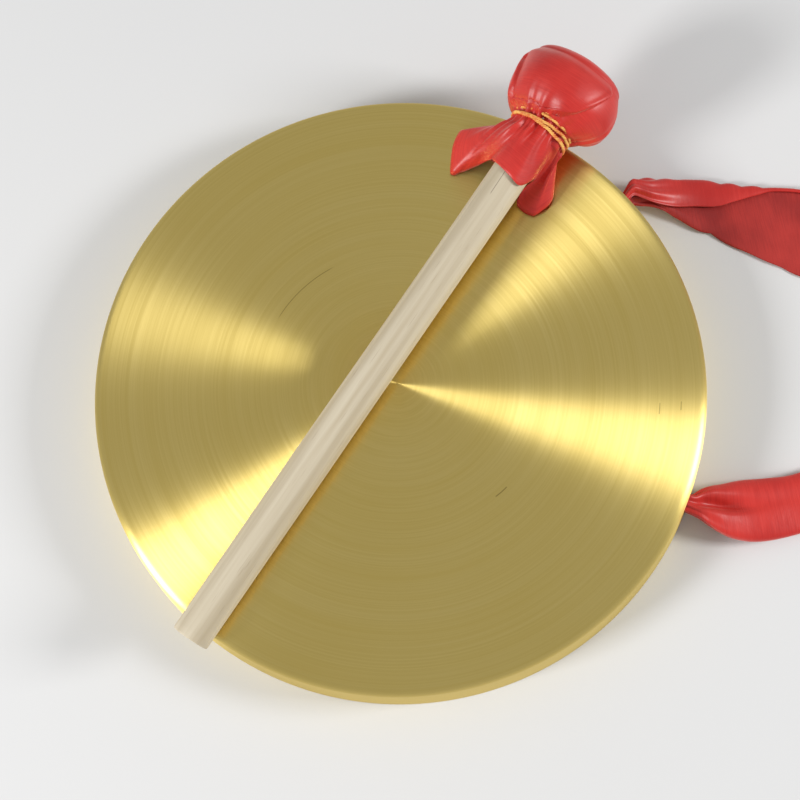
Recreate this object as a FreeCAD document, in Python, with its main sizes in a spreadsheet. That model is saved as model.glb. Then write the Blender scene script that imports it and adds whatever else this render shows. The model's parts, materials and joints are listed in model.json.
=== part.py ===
import FreeCAD, Part
import math
import os

import Sketcher
from FreeCAD import Placement, Rotation, Vector

# A brass hand gong with a satin sash and a padded mallet, in millimetres, +Z up.
# The gong lies face up on its rim's open edge, at z = 0, and its axis is the Z axis. The sash leaves
# the rim on the +X side and is knotted into a hand loop, and the mallet lies across the face.

SIZES = [
    # the gong plate
    ("face_radius", 150.0, "outside of the plate at the face's corner"),
    ("rim_height", 28.0, "from the rim's open edge to the face's corner"),
    ("rim_flare", 2.0, "how far the open edge stands out past the corner"),
    ("sheet_thickness", 1.2, "brass sheet"),
    ("corner_radius", 4.0, "outside radius of the corner"),
    ("dome_rise", 2.0, "crown of the face at its centre"),
    ("rim_hole_height", 14.0, "above the open edge"),
    ("rim_holes_heading", 8.8, "degrees from +X to the middle of the two holes"),
    ("rim_holes_spread", 31.2, "degrees from that middle to each hole"),
    # the sash
    ("sash_rope_radius", 4.4, "the strip bunched up where it passes a hole"),
    ("sash_hole_clearance", 0.6, "between the bunched strip and its hole's edge"),
    ("sash_bend_radius", 9.0, "of the inner span's middle line, behind each hole"),
    ("sash_inner_leg", 4.0, "straight part behind each hole"),
    ("sash_hinge_reach", 9.0, "from the face's corner radius out to the line the loop swings about"),
    ("sash_hinge_gap", 0.3, "between the bunched ends at that line"),
    ("upper_spread", 48.0, "widest part of the upper strand"),
    ("lower_spread", 33.0, "widest part of the lower strand"),
    ("strand_thickness", 5.0, "a strand where it lies spread out"),
    ("sash_floor_gap", 0.3, "under the lying cloth"),
    ("knot_reach", 178.0, "from the swing line to the knot"),
    ("knot_sideways", -35.0, "from the loop's middle line to the knot"),
    ("knot_length", 34.0, "along the sash"),
    ("knot_width", 30.0, "across the sash"),
    ("knot_height", 22.0, "above the floor"),
    ("knot_rounding", 7.0, "edges of the knot"),
    ("knot_entry", 8.0, "from the knot's middle line to where each strand and tail goes in"),
    ("tail_length", 68.0, "free ends past the knot"),
    ("tail_width", 34.0, "free ends, spread out"),
    ("tail_thickness", 3.0, "free ends"),
    # the mallet
    ("stick_radius", 9.5, "dowel"),
    ("stick_length", 325.0, "whole dowel"),
    ("stick_in_head", 26.0, "dowel past the neck"),
    ("stick_chamfer", 0.6, "at both ends"),
    ("core_radius", 13.0, "cloth wound round the dowel"),
    ("core_past_dowel", 1.0, "core beyond the dowel's end"),
    ("core_below_neck", 4.0, "core under the bands"),
    ("ball_radius", 26.0, "outside of the covered head, across"),
    ("ball_half_length", 19.5, "outside of the covered head, half its length"),
    ("ball_centre", 19.5, "from the neck to the ball's centre"),
    ("cover_thickness", 0.6, "satin over the ball"),
    ("gathered_thickness", 1.5, "gathered satin between the core and the bands"),
    ("skirt_length", 34.0, "loose satin below the neck"),
    ("skirt_half_width", 29.0, "loose satin at its end, across"),
    ("skirt_over_stick", 1.5, "loose satin above the dowel, at its end"),
    ("skirt_aside", 9.0, "how far the loose satin lies to the stick's left"),
    ("band_thickness", 1.4, "each elastic band"),
    ("band_pitch", 1.5, "from band to band"),
    ("mallet_heading", 55.8, "degrees from +X"),
    ("mallet_aside", 10.3, "from the gong's axis to the mallet's line, to its left"),
    ("neck_inset", 7.0, "from the face's corner radius in to the mallet's neck"),
    ("flank_fullness", 2.4, "room under the head for its soft flank"),
    ("rest_gap", 0.4, "between the mallet and the plate"),
]

DOC = FreeCAD.newDocument("hand_gong")

# outside of the gathered satin under the bands
NECK_RADIUS = "(Sizes.core_radius + Sizes.gathered_thickness)"


def make_sheet():
    """Put every driving dimension in a spreadsheet cell with an alias."""
    sheet = DOC.addObject("Spreadsheet::Sheet", "Sizes")
    for row, (alias, value, meaning) in enumerate(SIZES, start=1):
        sheet.set(f"A{row}", meaning)
        sheet.set(f"B{row}", str(value))
        sheet.setAlias(f"B{row}", alias)
    DOC.recompute()
    return sheet


SHEET = make_sheet()


def size(alias):
    """The value of a driving dimension."""
    return float(SHEET.get(alias))


def bind(thing, **expressions):
    """Tie properties of an object to the spreadsheet."""
    for name, expression in expressions.items():
        thing.setExpression(name, expression)


def origin_plane(body, role):
    """A body's own XY_Plane, XZ_Plane or YZ_Plane."""
    return next(f for f in body.Origin.OriginFeatures if f.Role == role)


def new_body(name):
    """An empty PartDesign body."""
    return DOC.addObject("PartDesign::Body", name)


def new_sketch(body, name, role, offset=None):
    """A sketch on one of a body's own origin planes."""
    sketch = body.newObject("Sketcher::SketchObject", name)
    sketch.AttachmentSupport = [(origin_plane(body, role), "")]
    sketch.MapMode = "FlatFace"
    if offset is not None:
        sketch.AttachmentOffset = offset
    return sketch


def tie(sketch, name, constraint, expression):
    """Add a dimension to a sketch and drive it from the spreadsheet."""
    index = sketch.addConstraint(constraint)
    sketch.renameConstraint(index, name)
    sketch.setExpression(f"Constraints.{name}", expression)


def circle_sketch(body, name, role, radius, radius_expression, height=None, offset=None):
    """A sketch of one circle, on the vertical axis, at the origin or at a height from it."""
    sketch = new_sketch(body, name, role, offset)
    up = height[0] if height else 0.0
    sketch.addGeometry(Part.Circle(Vector(0, up, 0), Vector(0, 0, 1), radius), False)
    tie(sketch, "radius", Sketcher.Constraint("Radius", 0, radius), radius_expression)
    if height:
        sketch.addConstraint(Sketcher.Constraint("PointOnObject", 0, 3, -2))
        tie(sketch, "height", Sketcher.Constraint("DistanceY", -1, 1, 0, 3, up), height[1])
    else:
        sketch.addConstraint(Sketcher.Constraint("Coincident", 0, 3, -1, 1))
    return sketch


def ring_edge(shape, radius, height):
    """The name of the level ring about Z that has this radius and height."""
    for number, edge in enumerate(shape.Edges, start=1):
        box = edge.BoundBox
        if box.ZLength < 0.01 and abs(box.XMax - radius) < 0.01 and abs(box.ZMax - height) < 0.01:
            return f"Edge{number}"
    raise ValueError(f"no edge of radius {radius} at {height}")


def plate_outline(body, name, inset):
    """Half of the plate's outside in section, or of its inside, set in by a spreadsheet expression.

    Its three corners are the open edge, the face's corner before rounding and the crown.
    """
    gap = size(inset) if inset else 0.0
    less = f" - Sizes.{inset}" if inset else ""
    face, height = size("face_radius") - gap, size("rim_height") - gap
    mouth, crown = face + size("rim_flare"), height + size("dome_rise")
    dome = (face ** 2 + size("dome_rise") ** 2) / (2 * size("dome_rise"))
    profile = new_sketch(body, name, "XZ_Plane")
    profile.addGeometry(Part.LineSegment(Vector(0, 0, 0), Vector(mouth, 0, 0)), False)
    profile.addGeometry(Part.LineSegment(Vector(mouth, 0, 0), Vector(face, height, 0)), False)
    circle = Part.Circle(Vector(0, crown - dome, 0), Vector(0, 0, 1), dome)
    start = math.atan2(height - crown + dome, face)
    profile.addGeometry(Part.ArcOfCircle(circle, start, math.pi / 2), False)
    profile.addGeometry(Part.LineSegment(Vector(0, crown, 0), Vector(0, 0, 0)), False)
    for first, second in (((0, 2), (1, 1)), ((1, 2), (2, 1)), ((2, 2), (3, 1)), ((3, 2), (0, 1))):
        profile.addConstraint(Sketcher.Constraint("Coincident", *first, *second))
    profile.addConstraint(Sketcher.Constraint("Coincident", 0, 1, -1, 1))
    profile.addConstraint(Sketcher.Constraint("Horizontal", 0))
    profile.addConstraint(Sketcher.Constraint("Vertical", 3))
    profile.addConstraint(Sketcher.Constraint("PointOnObject", 2, 3, -2))
    tie(profile, "mouth", Sketcher.Constraint("DistanceX", -1, 1, 0, 2, mouth),
        f"Sizes.face_radius + Sizes.rim_flare{less}")
    tie(profile, "face", Sketcher.Constraint("DistanceX", -1, 1, 1, 2, face), f"Sizes.face_radius{less}")
    tie(profile, "rim", Sketcher.Constraint("DistanceY", -1, 1, 1, 2, height), f"Sizes.rim_height{less}")
    tie(profile, "crown", Sketcher.Constraint("DistanceY", -1, 1, 3, 1, crown),
        f"Sizes.rim_height + Sizes.dome_rise{less}")
    return profile


def round_corner(body, name, base, radius, height, expression):
    """Fillet the circular edge that has this radius and height."""
    corner = body.newObject("PartDesign::Fillet", name)
    corner.Base = (base, [ring_edge(base.Shape, radius, height)])
    bind(corner, Radius=expression)
    DOC.recompute()
    return corner


def make_gong_plate():
    """Revolve the plate's outside, hollow it from below, round its corner and drill the rim."""
    body = new_body("gong_plate")
    face, height, sheet = size("face_radius"), size("rim_height"), size("sheet_thickness")
    outside = plate_outline(body, "plate_outside", None)
    blank = body.newObject("PartDesign::Revolution", "solid_blank")
    blank.Profile = outside
    blank.ReferenceAxis = (outside, ["V_Axis"])
    blank.Angle = 360
    DOC.recompute()
    inside = plate_outline(body, "plate_inside", "sheet_thickness")
    hollow = body.newObject("PartDesign::Groove", "hollow")
    hollow.Profile = inside
    hollow.ReferenceAxis = (inside, ["V_Axis"])
    hollow.Angle = 360
    DOC.recompute()
    if not hollow.Shape.Volume < blank.Shape.Volume / 2:
        raise ValueError("the hollow cuts nothing")
    outer_corner = round_corner(body, "outer_corner", hollow, face, height, "Sizes.corner_radius")
    shell = round_corner(
        body, "inner_corner", outer_corner, face - sheet, height - sheet,
        "Sizes.corner_radius - Sizes.sheet_thickness")
    for name, side in (("upper", 1), ("lower", -1)):
        turn = size("rim_holes_heading") + side * size("rim_holes_spread") + 90
        offset = Placement(Vector(0, 0, 0), Rotation(Vector(0, 1, 0), turn))
        ring = circle_sketch(
            body, f"{name}_hole_circle", "XZ_Plane", size("sash_rope_radius") + size("sash_hole_clearance"),
            "Sizes.sash_rope_radius + Sizes.sash_hole_clearance",
            height=(size("rim_hole_height"), "Sizes.rim_hole_height"), offset=offset)
        before = shell.Shape.Volume
        hole = body.newObject("PartDesign::Pocket", f"{name}_hole")
        hole.Profile = ring
        hole.Reversed = True
        hole.Length = 2 * face
        bind(hole, Length="2 * Sizes.face_radius")
        DOC.recompute()
        if not hole.Shape.Volume < before:
            raise ValueError(f"{name} hole cuts nothing")
        shell = hole
    body.Label = "gong_plate"
    return body


def hinge_distance():
    """From the gong's axis to the line that the hand loop swings about."""
    reach = size("face_radius") + size("sash_hinge_reach")
    return reach * math.cos(math.radians(size("rim_holes_spread")))


def hinge_half_span():
    """From the loop's middle line to each strand's start."""
    reach = size("face_radius") + size("sash_hinge_reach")
    return reach * math.sin(math.radians(size("rim_holes_spread")))


def sash_frame():
    """The sash's own frame: X straight out between the two holes, Z up, at the height of the holes."""
    return Placement(
        Vector(0, 0, size("rim_hole_height")), Rotation(Vector(0, 0, 1), size("rim_holes_heading")))


def make_inner_span():
    """The bunched strip inside the rim: along the chord, round a bend and straight out through each hole."""
    body = new_body("sash_inner_span")
    spread, bend = math.radians(size("rim_holes_spread")), size("sash_bend_radius")
    foot = size("face_radius") - size("sheet_thickness") - size("sash_inner_leg")
    end = size("face_radius") + size("sash_hinge_reach") - size("sash_rope_radius") - size("sash_hinge_gap")
    chord = foot * math.cos(spread) + bend * math.sin(spread) - bend
    turn_start = foot * math.sin(spread) - bend * math.cos(spread)
    out = Vector(math.cos(spread), math.sin(spread), 0)

    path = new_sketch(body, "span_path", "XY_Plane")
    path.addGeometry(Part.LineSegment(Vector(chord, 0, 0), Vector(chord, turn_start, 0)), False)
    circle = Part.Circle(Vector(chord + bend, turn_start, 0), Vector(0, 0, 1), bend)
    path.addGeometry(Part.ArcOfCircle(circle, spread + math.pi / 2, math.pi), False)
    path.addGeometry(Part.LineSegment(out * foot, out * end), False)
    path.addConstraint(Sketcher.Constraint("Vertical", 0))
    path.addConstraint(Sketcher.Constraint("PointOnObject", 0, 1, -1))
    path.addConstraint(Sketcher.Constraint("Tangent", 0, 2, 1, 2))
    path.addConstraint(Sketcher.Constraint("Tangent", 1, 1, 2, 1))
    path.addConstraint(Sketcher.Constraint("PointOnObject", -1, 1, 2))
    tie(path, "bend", Sketcher.Constraint("Radius", 1, bend), "Sizes.sash_bend_radius")
    tie(path, "foot", Sketcher.Constraint("Distance", -1, 1, 2, 1, foot),
        "Sizes.face_radius - Sizes.sheet_thickness - Sizes.sash_inner_leg")
    tie(path, "end", Sketcher.Constraint("Distance", -1, 1, 2, 2, end),
        "Sizes.face_radius + Sizes.sash_hinge_reach - Sizes.sash_rope_radius - Sizes.sash_hinge_gap")
    tie(path, "spread", Sketcher.Constraint("Angle", 2, spread), "Sizes.rim_holes_spread * 1 deg")

    ring = new_sketch(body, "span_section", "XZ_Plane")
    ring.addGeometry(Part.Circle(Vector(chord, 0, 0), Vector(0, 0, 1), size("sash_rope_radius")), False)
    ring.addConstraint(Sketcher.Constraint("PointOnObject", 0, 3, -1))
    tie(ring, "radius", Sketcher.Constraint("Radius", 0, size("sash_rope_radius")), "Sizes.sash_rope_radius")
    tie(ring, "chord", Sketcher.Constraint("DistanceX", -1, 1, 0, 3, chord),
        "(Sizes.face_radius - Sizes.sheet_thickness - Sizes.sash_inner_leg) * cos(Sizes.rim_holes_spread)"
        " - Sizes.sash_bend_radius * (1 - sin(Sizes.rim_holes_spread))")
    DOC.recompute()
    half = body.newObject("PartDesign::AdditivePipe", "half_span")
    half.Profile = ring
    half.Spine = (path, ["Edge1", "Edge2", "Edge3"])
    DOC.recompute()
    whole = body.newObject("PartDesign::Mirrored", "whole_span")
    whole.Originals = [half]
    whole.MirrorPlane = (origin_plane(body, "XZ_Plane"), [""])
    body.Tip = whole
    body.Placement = sash_frame()
    body.Label = "sash_inner_span"
    return body


class Station:
    """A place along a strand: its distances from the strand's start, and how far the cloth has changed.

    drop runs from 0 at the height of the holes to 1 on the floor, and spread from 0, bunched, to 1.
    """

    def __init__(self, out, aside, drop, spread):
        self.out = out
        self.aside = aside
        self.drop = drop
        self.spread = spread


UPPER_ROUTE = [
    Station(out=10, aside=2.0, drop=0.25, spread=0.12),
    Station(out=24, aside=-1.0, drop=0.6, spread=0.32),
    Station(out=42, aside=-10.0, drop=0.9, spread=0.6),
    Station(out=79, aside=-29.0, drop=1.0, spread=1.0),
    Station(out=122, aside=-62.0, drop=1.0, spread=0.85),
]
LOWER_ROUTE = [
    Station(out=11, aside=-0.8, drop=0.3, spread=0.35),
    Station(out=24, aside=-1.6, drop=0.7, spread=0.75),
    Station(out=48, aside=-2.2, drop=1.0, spread=1.0),
    Station(out=98, aside=9.0, drop=1.0, spread=1.0),
    Station(out=140, aside=30.0, drop=0.9, spread=0.7),
]
KNOT_ENTRY_SPREAD = 0.3


def cloth_section(place, heading, width, thickness):
    """The outline of bunched or lying cloth across its run: eight corners, upright at this place."""
    across = Vector(-math.sin(heading), math.cos(heading), 0) * (width / 2)
    up = Vector(0, 0, thickness / 2)
    shoulder = math.sqrt(0.5)
    corners = []
    for number in range(8):
        turn = number * math.pi / 4
        side, lift = math.cos(turn), math.sin(turn)
        if number % 2:
            lift = math.copysign(max(shoulder, 1 - thickness / width / 2), lift)
        corners.append(place + across * side + up * lift)
    return Part.makePolygon(corners + corners[:1])


def lay_cloth(name, sections, knot):
    """A closed solid through the sections, trimmed where it enters the knot."""
    cloth = Part.makeLoft(sections, True, True)
    cloth.Placement = sash_frame()
    feature = DOC.addObject("Part::Feature", name)
    feature.Shape = cloth.cut(knot.Shape)
    feature.Label = name
    return feature


def knot_place():
    """The knot's centre in the sash's own frame."""
    up = size("sash_floor_gap") + size("knot_height") / 2 - size("rim_hole_height")
    return Vector(hinge_distance() + size("knot_reach"), size("knot_sideways"), up)


def make_knot():
    """The knot, a block with rounded edges that lies on the floor."""
    block = DOC.addObject("Part::Box", "knot_block")
    bind(block, Length="Sizes.knot_length", Width="Sizes.knot_width", Height="Sizes.knot_height")
    half = Vector(size("knot_length") / 2, size("knot_width") / 2, size("knot_height") / 2)
    block.Placement = sash_frame().multiply(Placement(knot_place() - half, Rotation()))
    DOC.recompute()
    knot = DOC.addObject("Part::Fillet", "sash_knot")
    knot.Base = block
    radius = size("knot_rounding")
    knot.Edges = [(number, radius, radius) for number in range(1, len(block.Shape.Edges) + 1)]
    DOC.recompute()
    knot.Label = "sash_knot"
    return knot


def make_strand(name, side, widest, route, knot):
    """One strand of the hand loop, from its swing line down to the floor and on to the knot."""
    start = Vector(hinge_distance(), side * hinge_half_span(), 0)
    floor = size("sash_floor_gap") - size("rim_hole_height")
    lying = floor + size("strand_thickness") / 2
    places = [start]
    for station in route:
        places.append(start + Vector(station.out, station.aside, station.drop * lying))
    places.append(knot_place() + Vector(0, side * size("knot_entry"), 0))
    shares = [0.0] + [station.spread for station in route] + [KNOT_ENTRY_SPREAD]
    bunched = 2 * size("sash_rope_radius")
    sections = []
    for number, (place, share) in enumerate(zip(places, shares)):
        before, after = places[max(number - 1, 0)], places[min(number + 1, len(places) - 1)]
        heading = math.atan2(after.y - before.y, after.x - before.x)
        width = bunched + share * (size(widest) - bunched)
        thickness = bunched + share * (size("strand_thickness") - bunched)
        place.z = max(place.z, floor + thickness / 2)
        sections.append(cloth_section(place, heading, width, thickness))
    return lay_cloth(name, sections, knot)


TAIL_LANDING = 0.4  # share of a free end's length at which it has come down to the floor


def make_tail(name, side, heading, knot):
    """A free end of the sash past the knot, lying on the floor."""
    turn = math.radians(heading)
    along = Vector(math.cos(turn), math.sin(turn), 0)
    centre = knot_place() + Vector(0, side * size("knot_entry"), 0)
    lying = size("sash_floor_gap") + size("tail_thickness") / 2 - size("rim_hole_height")
    first, last = size("knot_length") / 4, size("knot_length") / 2 + size("tail_length")
    sections = []
    for share, drop in ((0.0, 0.0), (TAIL_LANDING, 1.0), (1.0, 1.0)):
        place = centre + along * (first + share * (last - first))
        place.z = centre.z + drop * (lying - centre.z)
        width = 2 * size("knot_entry") * (1 - share) + size("tail_width") * share
        sections.append(cloth_section(place, turn, width, size("tail_thickness")))
    return lay_cloth(name, sections, knot)


def ball_radius_at(distance):
    """The covered head's radius, this far past the neck."""
    share = (distance - size("ball_centre")) / size("ball_half_length")
    return size("ball_radius") * math.sqrt(1 - share ** 2)


def mallet_lie():
    """How the mallet lies on the plate: the neck's distance along its line, its rise and the pitch.

    The head's flank rests on the plate's corner and the stick on the corner across from it.
    """
    face, corner, aside = size("face_radius"), size("corner_radius"), size("mallet_aside")
    slack = corner * (1 - math.cos(math.pi / 4))
    flank = ball_radius_at(size("neck_inset") - slack) + size("flank_fullness")
    neck_rise = flank - slack + size("rest_gap")
    stick_rise = size("stick_radius") + size("rest_gap")
    neck_along = math.sqrt(face ** 2 - aside ** 2) - size("neck_inset")
    span = neck_along + math.sqrt((face - corner) ** 2 - aside ** 2)
    return neck_along, neck_rise, math.asin((neck_rise - stick_rise) / span)


def mallet_frame():
    """The mallet's own frame: origin at the neck, Z towards the head, Y up, X to the mallet's left."""
    neck_along, neck_rise, pitch = mallet_lie()
    heading = math.radians(size("mallet_heading"))
    level = Vector(math.cos(heading), math.sin(heading), 0)
    left = Vector(-level.y, level.x, 0)
    along = level * math.cos(pitch) + Vector(0, 0, math.sin(pitch))
    neck = level * neck_along + left * size("mallet_aside") + Vector(0, 0, size("rim_height") + neck_rise)
    return Placement(neck, Rotation(left, along.cross(left), along, "XYZ"))


def make_stick():
    """The dowel, with both ends chamfered."""
    body = new_body("mallet_stick")
    ring = circle_sketch(body, "dowel_circle", "XY_Plane", size("stick_radius"), "Sizes.stick_radius")
    dowel = body.newObject("PartDesign::Pad", "dowel")
    dowel.Profile = ring
    bind(dowel, Length="Sizes.stick_length")
    DOC.recompute()
    ends = [ring_edge(dowel.Shape, size("stick_radius"), height) for height in (0, size("stick_length"))]
    chamfer = body.newObject("PartDesign::Chamfer", "dowel_ends")
    chamfer.Base = (dowel, ends)
    bind(chamfer, Size="Sizes.stick_chamfer")
    butt = Placement(Vector(0, 0, size("stick_in_head") - size("stick_length")), Rotation())
    body.Placement = mallet_frame().multiply(butt)
    body.Label = "mallet_stick"
    return body


def make_core():
    """The cloth wound round the dowel's end, closed over its tip."""
    body = new_body("head_core")
    foot = Placement(Vector(0, 0, -size("core_below_neck")), Rotation())
    outside = circle_sketch(
        body, "core_circle", "XY_Plane", size("core_radius"), "Sizes.core_radius", offset=foot)
    roll = body.newObject("PartDesign::Pad", "wound_cloth")
    roll.Profile = outside
    bind(roll, Length="Sizes.core_below_neck + Sizes.stick_in_head + Sizes.core_past_dowel")
    DOC.recompute()
    inside = circle_sketch(
        body, "dowel_socket_circle", "XY_Plane", size("stick_radius"), "Sizes.stick_radius", offset=foot)
    socket = body.newObject("PartDesign::Pocket", "dowel_socket")
    socket.Profile = inside
    socket.Reversed = True
    bind(socket, Length="Sizes.core_below_neck + Sizes.stick_in_head")
    DOC.recompute()
    if not socket.Shape.Volume < roll.Shape.Volume:
        raise ValueError("the dowel's socket cuts nothing")
    body.Placement = mallet_frame()
    body.Label = "head_core"
    return body


def ellipsoid(name, inset):
    """The head's round body, or the same shape set in by an expression."""
    ball = DOC.addObject("Part::Ellipsoid", name)
    bind(
        ball, Radius1=f"Sizes.ball_half_length - ({inset})", Radius2=f"Sizes.ball_radius - ({inset})",
        Radius3=f"Sizes.ball_radius - ({inset})")
    ball.Placement = Placement(Vector(0, 0, size("ball_centre")), Rotation())
    return ball


def cylinder(name, radius, start, length):
    """A cylinder along the mallet, its radius and length given as expressions."""
    rod = DOC.addObject("Part::Cylinder", name)
    bind(rod, Radius=radius, Height=length)
    rod.Placement = Placement(Vector(0, 0, start), Rotation())
    return rod


def core_space(name):
    """The room that the wound core takes."""
    return cylinder(
        name, "Sizes.core_radius", -size("core_below_neck"),
        "Sizes.core_below_neck + Sizes.stick_in_head + Sizes.core_past_dowel")


def make_wadding():
    """The cotton between the core and the satin."""
    wadding = DOC.addObject("Part::Cut", "head_wadding")
    wadding.Base = ellipsoid("wadding_ball", "Sizes.cover_thickness")
    wadding.Tool = core_space("wadding_core_space")
    wadding.Placement = mallet_frame()
    wadding.Label = "head_wadding"
    return wadding


SKIRT_RINGS = (0.0, 0.4, 1.0)  # shares of the loose satin's length


def make_cover():
    """The satin: a skin over the ball, gathered in at the neck and loose below it."""
    neck_foot, skirt_end = -size("core_below_neck"), -size("core_below_neck") - size("skirt_length")
    _, neck_rise, pitch = mallet_lie()
    above = size("stick_radius") + size("skirt_over_stick")
    below = neck_rise + skirt_end * math.sin(pitch) - size("dome_rise") - size("rest_gap")
    half_height, drop = (above + below) / 2, (below - above) / 2
    neck = cylinder(
        "gathered_neck", NECK_RADIUS, neck_foot, "Sizes.core_below_neck + Sizes.ball_centre")
    rings = []
    for number, share in enumerate(SKIRT_RINGS, start=1):
        ring = DOC.addObject("Part::Ellipse", f"skirt_ring_{number}")
        wide = f"{NECK_RADIUS} + {share} * (Sizes.skirt_half_width - {NECK_RADIUS})"
        tall = f"{NECK_RADIUS} + {share} * ({half_height} - {NECK_RADIUS})"
        bind(ring, MajorRadius=wide, MinorRadius=tall)
        middle = Vector(share * size("skirt_aside"), -share * drop, 0)
        middle.z = neck_foot + share * (skirt_end - neck_foot)
        ring.Placement = Placement(middle, Rotation())
        rings.append(ring)
    skirt = DOC.addObject("Part::Loft", "skirt")
    skirt.Sections = rings
    skirt.Solid = True
    outside = DOC.addObject("Part::MultiFuse", "satin_outside")
    outside.Shapes = [ellipsoid("cover_ball", "0"), neck, skirt]
    inside = DOC.addObject("Part::MultiFuse", "satin_inside")
    inside.Shapes = [
        ellipsoid("cover_hollow", "Sizes.cover_thickness"),
        core_space("cover_core_space"),
        cylinder(
            "cover_dowel_space", "Sizes.stick_radius", skirt_end - size("skirt_length"),
            "2 * Sizes.skirt_length + Sizes.core_below_neck"),
    ]
    cover = DOC.addObject("Part::Cut", "satin_cover")
    cover.Base = outside
    cover.Tool = inside
    cover.Placement = mallet_frame()
    cover.Label = "satin_cover"
    return cover


BANDS = 4


def make_band(number):
    """One elastic band round the gathered neck, the first nearest the stick."""
    band = DOC.addObject("Part::Torus", f"elastic_band_{number}")
    bind(band, Radius1=f"{NECK_RADIUS} + Sizes.band_thickness / 2", Radius2="Sizes.band_thickness / 2")
    along = (number - (BANDS + 1) / 2) * size("band_pitch")
    band.Placement = mallet_frame().multiply(Placement(Vector(0, 0, along), Rotation()))
    band.Label = f"elastic_band_{number}"
    return band


def make_parts():
    """Every sub-part, each under its own label."""
    knot = make_knot()
    parts = [
        make_gong_plate(),
        make_inner_span(),
        make_strand("sash_upper_strand", 1, "upper_spread", UPPER_ROUTE, knot),
        make_strand("sash_lower_strand", -1, "lower_spread", LOWER_ROUTE, knot),
        knot,
        make_tail("sash_tail_upper", 1, 16, knot),
        make_tail("sash_tail_lower", -1, -24, knot),
        make_stick(),
        make_core(),
        make_wadding(),
        make_cover(),
    ]
    parts += [make_band(number) for number in range(1, BANDS + 1)]
    return parts


def check(parts):
    """Stop if any object failed, or if a sub-part has no valid solid."""
    for thing in DOC.Objects:
        if {"Invalid", "Error"} & set(thing.State):
            raise RuntimeError(f"{thing.Label} failed: {thing.State}")
    for part in parts:
        if part.Shape.isNull() or not part.Shape.isValid() or not part.Shape.Solids:
            raise RuntimeError(f"{part.Label} has no valid solid")


def main():
    """Build the document, check it and write one STEP file for each sub-part."""
    parts = make_parts()
    DOC.recompute()
    check(parts)
    os.makedirs("parts", exist_ok=True)
    for part in parts:
        part.Shape.exportStep(f"parts/{part.Label}.step")
        box = part.Shape.BoundBox
        low, high = (box.XMin, box.YMin, box.ZMin), (box.XMax, box.YMax, box.ZMax)
        corners = "  ".join(f"{a:8.2f}..{b:<8.2f}" for a, b in zip(low, high))
        print(f"{part.Label:20} {len(part.Shape.Solids)} solid  {part.Shape.Volume:10.0f} mm3  {corners}")


main()
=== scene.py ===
import json
import logging
import math
from dataclasses import dataclass, field
from enum import Enum
from typing import Any, Sequence

import bmesh
import bpy
import numpy as np
from mathutils import Matrix, Vector


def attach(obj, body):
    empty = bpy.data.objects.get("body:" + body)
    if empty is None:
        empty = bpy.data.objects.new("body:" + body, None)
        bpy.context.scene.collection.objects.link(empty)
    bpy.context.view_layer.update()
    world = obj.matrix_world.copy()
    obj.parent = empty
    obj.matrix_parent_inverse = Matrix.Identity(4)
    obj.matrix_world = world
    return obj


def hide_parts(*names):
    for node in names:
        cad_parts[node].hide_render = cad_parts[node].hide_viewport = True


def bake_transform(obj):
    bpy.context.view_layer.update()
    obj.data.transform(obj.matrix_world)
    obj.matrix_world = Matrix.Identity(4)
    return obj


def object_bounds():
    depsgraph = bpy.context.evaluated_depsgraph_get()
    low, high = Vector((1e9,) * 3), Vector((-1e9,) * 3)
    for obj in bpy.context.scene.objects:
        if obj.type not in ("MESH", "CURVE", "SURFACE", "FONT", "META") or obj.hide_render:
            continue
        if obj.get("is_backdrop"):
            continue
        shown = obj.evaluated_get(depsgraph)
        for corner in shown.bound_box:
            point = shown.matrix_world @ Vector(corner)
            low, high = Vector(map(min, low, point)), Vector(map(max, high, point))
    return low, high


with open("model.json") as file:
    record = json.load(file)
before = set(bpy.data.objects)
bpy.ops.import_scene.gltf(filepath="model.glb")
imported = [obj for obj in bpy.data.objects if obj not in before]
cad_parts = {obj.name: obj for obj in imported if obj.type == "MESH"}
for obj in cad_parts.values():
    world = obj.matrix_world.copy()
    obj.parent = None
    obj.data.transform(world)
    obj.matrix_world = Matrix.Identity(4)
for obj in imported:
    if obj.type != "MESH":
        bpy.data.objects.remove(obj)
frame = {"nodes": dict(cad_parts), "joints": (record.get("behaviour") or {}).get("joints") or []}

log = logging.getLogger("hand_gong")

MM = 0.001
Colour = tuple[float, float, float]
Stops = Sequence[tuple[float, Colour]]


# ---------------------------------------------------------------- shader maths


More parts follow.
